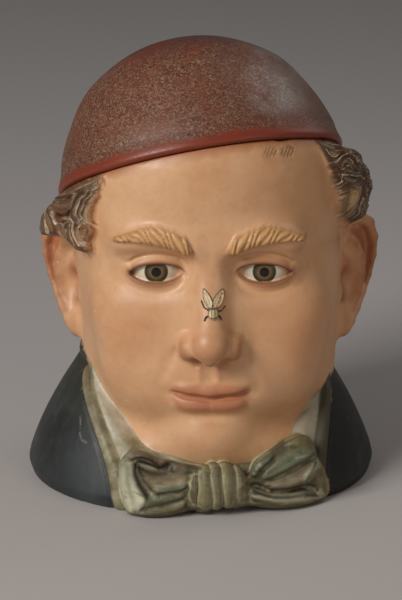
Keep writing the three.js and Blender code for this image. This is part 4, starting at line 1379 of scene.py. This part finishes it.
    # coat
    cloth = p.mix(p.range(big, 0.3, 0.7), srgb(25, 28, 27), srgb(40, 43, 42))
    cloth = p.mix(part(p.range(mid, 0.5, 0.75), 0.35), cloth, srgb(58, 61, 56))
    brushed = p.noise(130, 4, 0.65, p.scaled(1.7, 1.7, 0.4))
    cloth = p.mix(part(p.range(brushed, 0.5, 0.7), 0.4), cloth, srgb(70, 74, 72))
    cloth = p.mix(part(p.range(brushed, 0.48, 0.3), 0.4), cloth, srgb(14, 16, 16))
    # painted sheen: a bluish-grey reflection low on the coat's left
    cloth = p.mix(part(p.attr("painted_sheen"), 0.45), cloth, srgb(70, 77, 82))
    # painted shade: the coat nearly black on the right side
    cloth = p.mix(part(p.range(px, -0.01, 0.04), 0.9), cloth, srgb(7, 7, 7))
    cloth = p.mix(part(p.range(pz, 0.02, 0.045), p.range(px, 0.0, 0.03, 0.45, 0.1)), cloth, srgb(58, 56, 42))
    scuff = p.range(p.noise(70, 6, 0.7, p.scaled(1, 1, 0.45)), 0.66, 0.72)
    cloth = p.mix(part(scuff, 0.22), cloth, srgb(112, 108, 98))
    dots = part(p.range(p.cells(150), 0.09, 0.04), p.range(big, 0.5, 0.62))
    cloth = p.mix(part(dots, 0.6), cloth, srgb(124, 116, 100))
    scratch = part(p.attr("scratch"), p.range(small, 0.36, 0.5))
    cloth = p.mix(part(scratch, 0.45), cloth, srgb(150, 148, 138))
    col = p.mix(p.attr("coat"), col, cloth)
    front = p.mix(p.range(mid, 0.3, 0.7), srgb(160, 152, 122), srgb(124, 112, 80))
    front = p.mix(part(p.range(small, 0.5, 0.68), 0.5), front, srgb(104, 88, 52))
    col = p.mix(p.attr("shirt"), col, front)
    col = p.mix(p.attr("collar"), col, white)
    strip = p.mix(p.range(mid, 0.35, 0.65), srgb(160, 152, 122), srgb(118, 110, 82))
    strip = p.mix(part(p.range(small, 0.52, 0.66), 0.5), strip, srgb(96, 86, 56))
    strip = p.mix(part(p.range(pz, 0.016, 0.034), 0.6), strip, srgb(104, 98, 76))
    # painted shade: the strip darker on the right side
    strip = p.mix(p.range(px, 0.0, 0.02), strip, srgb(70, 66, 48))
    col = p.mix(p.attr("lapel"), col, strip)
    # bow: several greens and drabs, pale along its edges, partly pale paint and partly painted highlight, with painted
    # shade in its folds
    green = p.mix(p.range(big, 0.35, 0.65), srgb(128, 124, 92), srgb(146, 138, 104))
    green = p.mix(part(p.attr("drab"), 0.85), green, srgb(152, 134, 108))
    green = p.mix(part(p.attr("leaf"), 0.9), green, srgb(112, 124, 98))
    green = p.mix(part(p.attr("olive"), 0.8), green, srgb(128, 116, 72))
    # the pale ends, lighter towards their foot as a painted highlight
    green = p.mix(part(p.attr("ends"), 0.9), green, p.mix(p.range(pz, 0.004, 0.018), srgb(216, 214, 186), srgb(184, 188, 160)))
    green = p.mix(part(p.attr("knot"), 0.75), green, srgb(158, 150, 112))
    green = p.mix(part(p.range(mid, 0.45, 0.7), 0.45), green, srgb(120, 112, 80))
    green = p.mix(part(p.range(small, 0.52, 0.66), 0.35), green, srgb(178, 172, 142))
    brushed = p.noise(230, 4, 0.65, p.scaled(0.55, 1.0, 1.9))
    green = p.mix(part(p.range(brushed, 0.47, 0.32), 0.5), green, srgb(86, 80, 50))
    green = p.mix(part(p.range(brushed, 0.54, 0.68), 0.4), green, srgb(200, 194, 160))
    # painted shade: dark along sunken folds and between the knot's pleats
    green = p.mix(part(p.attr("deep_fold_shade"), 0.76), green, srgb(58, 50, 27))
    green = p.mix(part(p.range(p.attr("fold"), 0.42, 0.05), 0.75), green, srgb(58, 44, 23))
    # painted shade in the bow's hollows and creases
    green = p.mix(part(hollow_shade, 0.5), green, srgb(70, 58, 30))
    green = p.mix(part(painted_crease_shade, 0.85), green, srgb(30, 23, 11))
    # painted highlight along the bow's raised ridges
    green = p.mix(part(part(ridge_highlight, p.range(mid, 0.38, 0.58)), 0.5), green, srgb(206, 200, 170))
    col = p.mix(p.attr("bow"), col, green)
    # eyes: white, iris with a dark edge, pupil
    for side in (-1, 1):
        cx, cz = (HEAD_X + side * EYE_W + SHIFT[0]) * 0.001, (EYE_Z + 0.1) * 0.001
        dx, dz = p.math("SUBTRACT", px, cx), p.math("SUBTRACT", pz, cz)
        r = p.math("SQRT", p.math("ADD", part(dx, dx), part(dz, dz)))
        if side < 0:
            near = r
        else:
            near = p.math("MINIMUM", near, r)
    white = p.mix(p.range(near, 0.004, 0.009), srgb(222, 212, 190), srgb(200, 172, 142))
    iris = p.mix(p.range(near, 0.0018, 0.0034), srgb(112, 92, 56), srgb(58, 46, 28))
    eye = p.mix(p.range(near, 0.0037, 0.0042), iris, white)
    eye = p.mix(p.range(near, 0.0015, 0.0018), srgb(16, 12, 10), eye)
    col = p.mix(p.attr("eye"), col, eye)
    # bare clay
    clay = p.mix(p.range(mid, 0.3, 0.7), srgb(186, 112, 72), srgb(168, 96, 60))
    col = p.mix(p.attr("raw"), col, clay)
    p.put(p.bsdf.inputs["Base Color"], col)
    rough = p.blend(p.attr("coat"), 0.40, 0.52)
    rough = p.blend(p.attr("bow"), rough, 0.50)
    rough = p.blend(p.attr("hair"), rough, 0.42)
    rough = p.blend(p.attr("eye"), rough, 0.22)
    rough = p.blend(p.attr("raw"), rough, 0.85)
    rough = p.math("ADD", rough, p.range(mid, 0.3, 0.7, -0.05, 0.07))
    p.put(p.bsdf.inputs["Roughness"], rough)
    grain = p.math("ADD", part(fine, 0.4), mid)
    strands = part(part(p.range(thin, 0.45, 0.1), p.attr("hair")), 0.7)
    grain = p.math("ADD", grain, strands)
    p.put(p.bsdf.inputs["Normal"], p.bump(grain, 0.14, 0.0006))
    return p.mat


bust = new_piece("painted_bust", jar_mesh, jar_paint(), "jar_body")


# ------------------------------------------------------------------ the fly on the nose
WINGS = (((-0.5, -1.7), (-3.0, 5.2), 1.4), ((0.8, -1.7), (3.5, 4.9), 1.75))
LEGS = (
    [(-1.1, -2.4), (-2.8, -1.5), (-3.7, 0.6)],
    [(1.6, -2.8), (3.0, -2.9), (4.1, -1.7)],
    [(-1.1, -4.0), (-2.2, -4.6), (-2.7, -5.8)],
    [(1.5, -4.0), (2.5, -4.7), (2.9, -5.8)],
)


def fly_plan(x, z):
    """The fly seen from the front: its height off the nose, its dark lines and its amber dashes."""
    a, b = x - FLY[0], (z - FLY[1]) * 1.12
    tall = np.full_like(x, -1.0)
    ink = np.zeros_like(x)
    amber = np.zeros_like(x)
    for n, (root, tip, half) in enumerate(WINGS):
        ex, ey = tip[0] - root[0], tip[1] - root[1]
        length = math.hypot(ex, ey)
        t = ((a - root[0]) * ex + (b - root[1]) * ey) / length**2
        off = ((a - root[0]) * ey - (b - root[1]) * ex) / length
        body = np.maximum(np.sin(math.pi * clamp(t, 0, 1) ** 0.8), 0) ** 0.7
        depth = half * body - np.abs(off)
        depth = np.where((t > 0.02) & (t < 0.985), depth, -0.5)
        up = 0.28 + 0.34 * smooth(-0.02, 0.2, depth) - 0.16 * smooth(0.3, 0.55, depth)
        tall = np.maximum(tall, np.where(depth > 0, up, np.maximum(depth * 3, -1)))
        on = depth > -0.12
        ink = np.where(on, gauss(depth - 0.12, 0.17), ink)
        vein = np.maximum(gauss(off - 0.12 * half, 0.10), gauss(off + 0.42 * half * body, 0.09))
        ink = np.maximum(ink, on * 0.7 * vein * smooth(0.12, 0.25, t) * (1 - smooth(0.75, 0.9, t)))
        if n == 1:
            dash = smooth(0.55, 0.8, ridge(t * 4.6)) * gauss(off - 0.45, 0.34)
            amber = np.where(depth > 0.2, np.maximum(amber, dash), amber)
    r = np.sqrt(((a - 0.25) / 1.75) ** 2 + ((b + 3.5) / 2.05) ** 2)
    dome = 1.25 * np.sqrt(np.maximum(1 - r * r, 0))
    on = r < 1
    tall = np.maximum(tall, np.where(on, dome, np.maximum(-(r - 1) * 4, -1)))
    lines = np.maximum(gauss(np.abs(a - 0.25) - 0.55, 0.16) * (b > -4.6), gauss(b + 4.75, 0.25))
    ink = np.where(on, np.maximum(lines, smooth(0.82, 0.98, r)), ink)
    band = gauss(b + 1.65, 0.42) * (np.abs(a - 0.2) < 1.9)
    ink = np.maximum(ink, band)
    tall = np.where(band > 0.4, np.maximum(tall, 0.55), tall)
    for leg in LEGS:
        off = np.abs(along(a, b, np.array(leg))[1])
        up = 0.42 * np.sqrt(np.maximum(1 - (off / 0.27) ** 2, 0)) + 0.06
        near = off < 0.27
        tall = np.maximum(tall, np.where(near, up, np.maximum(-(off - 0.27) * 3, -1)))
        ink = np.where(near & ~on, 1.0, ink)
    return tall, ink, amber


def nose_only(x, y, z):
    u, v, w = in_seat(x, y, z)
    return face(head_core(x, y, z, u, v, w), np.abs(x - HEAD_X), y, z)


def fly_solid(x, y, z):
    off = nose_only(x, y, z)
    return np.maximum(off - fly_plan(x, z)[0], -off - 0.45)


def fly_paint():
    p = Paint("painted_fly")
    small = p.noise(900, 3)
    col = p.mix(p.range(small, 0.35, 0.65), srgb(226, 206, 168), srgb(202, 172, 126))
    col = p.mix(p.math("MULTIPLY", p.attr("amber"), 0.85), col, srgb(168, 96, 40))
    col = p.mix(p.math("MULTIPLY", p.attr("ink"), 0.96), col, srgb(40, 24, 14))
    p.put(p.bsdf.inputs["Base Color"], col)
    p.put(p.bsdf.inputs["Roughness"], 0.5)
    return p.mat


def build_fly():
    lo = (FLY[0] - 5.2, -61.0, FLY[1] - 6.4)
    hi = (FLY[0] + 5.2, -42.0, FLY[1] + 6.4)
    verts, quads = surface(fly_solid, lo, hi, 0.17, 4, 0.9)
    tris = triangles_of(quads, verts)
    q = verts.astype(np.float32)
    _, ink, amber = fly_plan(q[:, 0], q[:, 2])
    mesh = mesh_from("nose_fly", to_frame(verts), tris)
    put_attribute(mesh, "ink", ink)
    put_attribute(mesh, "amber", amber)
    mesh.polygons.foreach_set("use_smooth", [True] * len(mesh.polygons))
    mesh.materials.append(fly_paint())
    obj = bpy.data.objects.new("nose_fly", mesh)
    bpy.context.scene.collection.objects.link(obj)
    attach(obj, "root")


build_fly()


# ------------------------------------------------------------------ lid
def lid_points():
    """Rows of the lid's outline from the crown over the rim to the hollow's crown: radius share, height, mark."""
    rows = []
    steps = 74
    lip = 1.3
    for i in range(steps):
        a = math.pi / 2 * (1 - i / steps)
        high = lip + math.sin(a) ** (2 / LID_POWER) * (LID_HEIGHT - lip)
        # the wall leans in above a rim that flares a little
        inset = 1.5 * float(smooth(36, 18, high) * smooth(1.0, 7.0, high))
        rows.append((math.cos(a) ** (2 / LID_POWER) - inset / LID_RU, high, 0))
    for i in range(9):
        a = -math.pi / 2 * i / 8
        k = lip / LID_RU
        rows.append((1 - k + k * math.cos(a), lip + lip * math.sin(a), 0))
    fu = (MOUTH_RU - FLANGE_CLEAR) / LID_RU
    fi = (MOUTH_RU - FLANGE_CLEAR - FLANGE_WALL) / LID_RU
    for k in (0.93, 0.885):
        rows.append((k, 0.0, 1))
    rows.append((fu + 0.004, 0.0, 1))
    rows.append((fu, -0.4, 1))
    for hgt in (-2.4, -4.6):
        rows.append((fu, hgt, 1))
    rows.append((fu - 0.006, -FLANGE_DEPTH + 0.25, 1))
    rows.append((fu - 0.016, -FLANGE_DEPTH, 1))
    rows.append((fi + 0.016, -FLANGE_DEPTH, 1))
    rows.append((fi + 0.006, -FLANGE_DEPTH + 0.25, 1))
    for hgt in (-4.6, -2.4, 0.0):
        rows.append((fi, hgt, 1))
    for i in range(1, 31):
        a = math.pi / 2 * i / 31
        rows.append((fi * math.cos(a) ** (2 / LID_POWER), math.sin(a) ** (2 / LID_POWER) * (LID_HEIGHT - LID_WALL), 1))
    return rows


def build_lid():
    rows = lid_points()
    sides = 320
    verts, mark, high_ = [], [], []
    theta = np.arange(sides) / sides * 2 * math.pi
    first = True
    for k, h, inside in rows:
        if k < 1e-6:
            continue
        u = k * LID_RU * np.cos(theta)
        v = k * LID_RV * np.sin(theta)
        hh = np.full(sides, h + SEAT_GAP)
        if not inside:
            # thrown by hand: faint flats and dents, and a rim that swells a little
            n = 0.38 * lump(u, v, hh, 15, 2) + 0.16 * lump(u, v, hh, 5, 9)
            n = n * smooth(2.5, 9, h)
            scale = 1 + n / 48
            u, v = u * scale, v * scale
            hh = hh + n * 0.6 * smooth(20, 44, h)
        verts.append(np.stack([u, v, hh], 1))
        mark.append(np.full(sides, float(inside)))
        high_.append(np.full(sides, h))
    count = len(verts)
    crown = np.array([[0, 0, LID_HEIGHT + SEAT_GAP + 0.05]])
    under = np.array([[0, 0, LID_HEIGHT - LID_WALL + SEAT_GAP]])
    pts = np.concatenate(verts + [crown, under])
    mark = np.concatenate(mark + [np.array([0.0, 1.0])])
    high_ = np.concatenate(high_ + [np.array([LID_HEIGHT, LID_HEIGHT])])
    faces = []
    i = np.arange(sides)
    j = (i + 1) % sides
    for r in range(count - 1):
        a, b = r * sides, (r + 1) * sides
        faces.append(np.stack([a + i, b + i, b + j], 1))
        faces.append(np.stack([a + i, b + j, a + j], 1))
    top, bottom = count * sides, count * sides + 1
    faces.append(np.stack([np.full(sides, top), i, j], 1))
    last = (count - 1) * sides
    faces.append(np.stack([last + i, np.full(sides, bottom), last + j], 1))
    faces = np.concatenate(faces)
    world = O_ + pts[:, :1] * U_ + pts[:, 1:2] * V_ + pts[:, 2:] * N_
    mesh = mesh_from("skullcap_lid", to_frame(world), faces)
    put_attribute(mesh, "raw", mark)
    put_attribute(mesh, "height", high_ / 50)
    put_attribute(mesh, "across", np.concatenate([pts[:, 0]]) / 50)
    put_attribute(mesh, "along", np.concatenate([pts[:, 1]]) / 50)
    return mesh


def lid_paint():
    p = Paint("painted_cap")

    def part(a, b):
        return p.math("MULTIPLY", a, b)

    def thread(scale, stretch, turn, width, distortion):
        """Thin wandering lines."""
        n = p.noise(scale, 2, 0.5, p.scaled(*stretch, turn), distortion)
        off = p.math("ABSOLUTE", p.math("SUBTRACT", n, 0.5))
        return p.range(off, width, width * 0.35)

    big = p.noise(30, 4, 0.6)
    mid = p.noise(130, 5, 0.65, None, 0.4)
    small = p.noise(520, 4, 0.65)
    fine = p.noise(1500, 2)
    h, across = p.attr("height"), p.attr("across")
    col = p.mix(p.range(big, 0.35, 0.65), srgb(106, 48, 30), srgb(86, 37, 23))
    col = p.mix(part(p.range(mid, 0.5, 0.72), 0.5), col, srgb(120, 58, 37))
    col = p.mix(part(p.range(small, 0.5, 0.68), 0.5), col, srgb(58, 27, 17))

    def spot(a, b, wide, tall):
        da = p.math("DIVIDE", p.math("SUBTRACT", across, a), wide)
        db = p.math("DIVIDE", p.math("SUBTRACT", h, b), tall)
        return p.range(p.math("ADD", part(da, da), part(db, db)), 1.0, 0.15)

    # redder where the dust has been rubbed away
    clean = p.math("MAXIMUM", spot(-0.24, 0.84, 0.30, 0.14), part(spot(0.12, 0.72, 0.2, 0.12), 0.8))
    clean = p.math("MAXIMUM", clean, part(spot(-0.84, 0.46, 0.14, 0.16), 0.8))
    clean = part(clean, p.range(p.noise(75, 4, 0.6), 0.36, 0.58))
    col = p.mix(part(clean, 0.8), col, srgb(132, 46, 24))
    # scuffs: short pale threads that run round the cap, and fine specks
    lines = thread(300, (1.0, 1.0, 2.4), (0.42, 0.18, 0.0), 0.018, 1.4)
    more = thread(520, (1.0, 1.0, 2.0), (0.5, 0.1, 0.4), 0.026, 2.0)
    lines = p.math("MAXIMUM", lines, part(more, 0.8))
    specks = p.range(p.noise(1250, 2, 0.6), 0.56, 0.66)
    worn = part(p.range(p.noise(60, 3, 0.5), 0.3, 0.6, 0.62, 1.0), p.range(h, 0.035, 0.10))
    worn = part(worn, p.range(clean, 0.0, 1.0, 1.0, 0.4))
    worn = part(worn, p.range(h, 0.7, 0.95, 1.0, 0.55))
    scuffs = part(p.math("MAXIMUM", lines, part(specks, 0.75)), worn)
    col = p.mix(part(scuffs, 0.66), col, srgb(172, 148, 116))
    # dust, with a painted sheen, that greys the right side, and a darker crown
    dust_and_sheen = part(p.range(across, 0.15, 0.7, 0.0, 0.6), p.range(p.noise(45, 4, 0.6), 0.36, 0.6))
    dust_and_sheen = part(dust_and_sheen, part(p.range(h, 0.1, 0.3), p.range(small, 0.25, 0.6, 0.4, 1.0)))
    dust_and_sheen = part(dust_and_sheen, p.range(across, 0.68, 0.9, 1.0, 0.15))
    col = p.mix(dust_and_sheen, col, srgb(142, 130, 124))
    # painted highlight: a pale speckled patch on the cap's right side
    pale_highlight = part(spot(0.62, 0.42, 0.24, 0.32), p.range(p.noise(1100, 3, 0.6), 0.42, 0.6, 0.3, 1.0))
    pale_highlight = part(pale_highlight, p.range(p.noise(85, 4, 0.65), 0.38, 0.6, 0.15, 1.0))
    col = p.mix(part(pale_highlight, 0.5), col, srgb(186, 180, 178))
    col = p.mix(p.range(h, 0.66, 0.92, 0.0, 0.72), col, srgb(76, 29, 16))
    # the rim is cleaner and redder
    band = p.range(p.math("ADD", h, p.range(mid, 0.3, 0.7, -0.02, 0.02)), 0.10, 0.05)
    col = p.mix(part(band, 0.85), col, srgb(130, 52, 29))
    clay = p.mix(p.range(mid, 0.3, 0.7), srgb(186, 112, 72), srgb(168, 96, 60))
    col = p.mix(p.attr("raw"), col, clay)
    p.put(p.bsdf.inputs["Base Color"], col)
    rough = p.blend(band, p.range(mid, 0.3, 0.7, 0.38, 0.54), 0.36)
    rough = p.blend(p.attr("raw"), rough, 0.85)
    p.put(p.bsdf.inputs["Roughness"], rough)
    cloth = p.math("ADD", part(lines, 0.5), p.math("ADD", part(small, 0.8), part(fine, 0.3)))
    cloth = part(cloth, p.range(h, 0.05, 0.13, 0.15, 1.0))
    p.put(p.bsdf.inputs["Normal"], p.bump(cloth, 0.3, 0.0006))
    return p.mat


lid = new_piece("skullcap_lid", build_lid(), lid_paint(), "cap_lid")

# ------------------------------------------------------------------ stage, light and camera
scene = bpy.context.scene
scene.view_settings.view_transform = "Standard"


def stage_floor():
    mesh = bpy.data.meshes.new("floor")
    s = 6.0
    mesh.from_pydata([(-s, -s, 0), (s, -s, 0), (s, s, 0), (-s, s, 0)], [], [(0, 1, 2, 3)])
    obj = bpy.data.objects.new("floor", mesh)
    scene.collection.objects.link(obj)
    p = Paint("floor_paper")
    p.put(p.bsdf.inputs["Base Color"], (0.478, 0.452, 0.445))
    p.put(p.bsdf.inputs["Roughness"], 0.9)
    mesh.materials.append(p.mat)


stage_floor()


def area(name, where, target, size, power, colour):
    light = bpy.data.lights.new(name, "AREA")
    light.shape = "RECTANGLE"
    light.size, light.size_y = size
    light.energy = power
    light.color = colour
    obj = bpy.data.objects.new(name, light)
    obj.location = where
    obj.rotation_euler = (Vector(target) - Vector(where)).to_track_quat("-Z", "Y").to_euler()
    scene.collection.objects.link(obj)


area("key", (-0.85, -0.85, 0.80), (0, 0, 0.08), (0.6, 0.6), 15.0, (1.0, 0.97, 0.93))
area("fill", (0.55, -0.72, 0.34), (0, 0, 0.08), (0.6, 0.6), 1.08, (1.0, 0.87, 0.74))
area("top", (0.1, 0.3, 1.2), (0, 0, 0.1), (0.8, 0.8), 0.42, (1.0, 1.0, 1.0))
area("edge", (0.42, 0.24, 0.40), (0, 0, 0.12), (0.25, 0.25), 0.24, (1.0, 0.98, 0.96))

world = bpy.data.worlds.new("studio")
scene.world = world
world.use_nodes = True
world.node_tree.nodes["Background"].inputs[0].default_value = (0.84, 0.82, 0.79, 1)
world.node_tree.nodes["Background"].inputs[1].default_value = 0.14

cam_data = bpy.data.cameras.new("camera")
cam_data.lens = 2429.27 * 36 / 600
cam_data.sensor_width = 36
cam_data.clip_start, cam_data.clip_end = 0.01, 50
cam = bpy.data.objects.new("camera", cam_data)
cam.location = (SHIFT[0] * 0.001 - 0.0001, -0.82104 + SHIFT[1] * 0.001, 0.29999)
cam.rotation_euler = (math.radians(73.67), 0, 0)
scene.collection.objects.link(cam)
scene.camera = cam
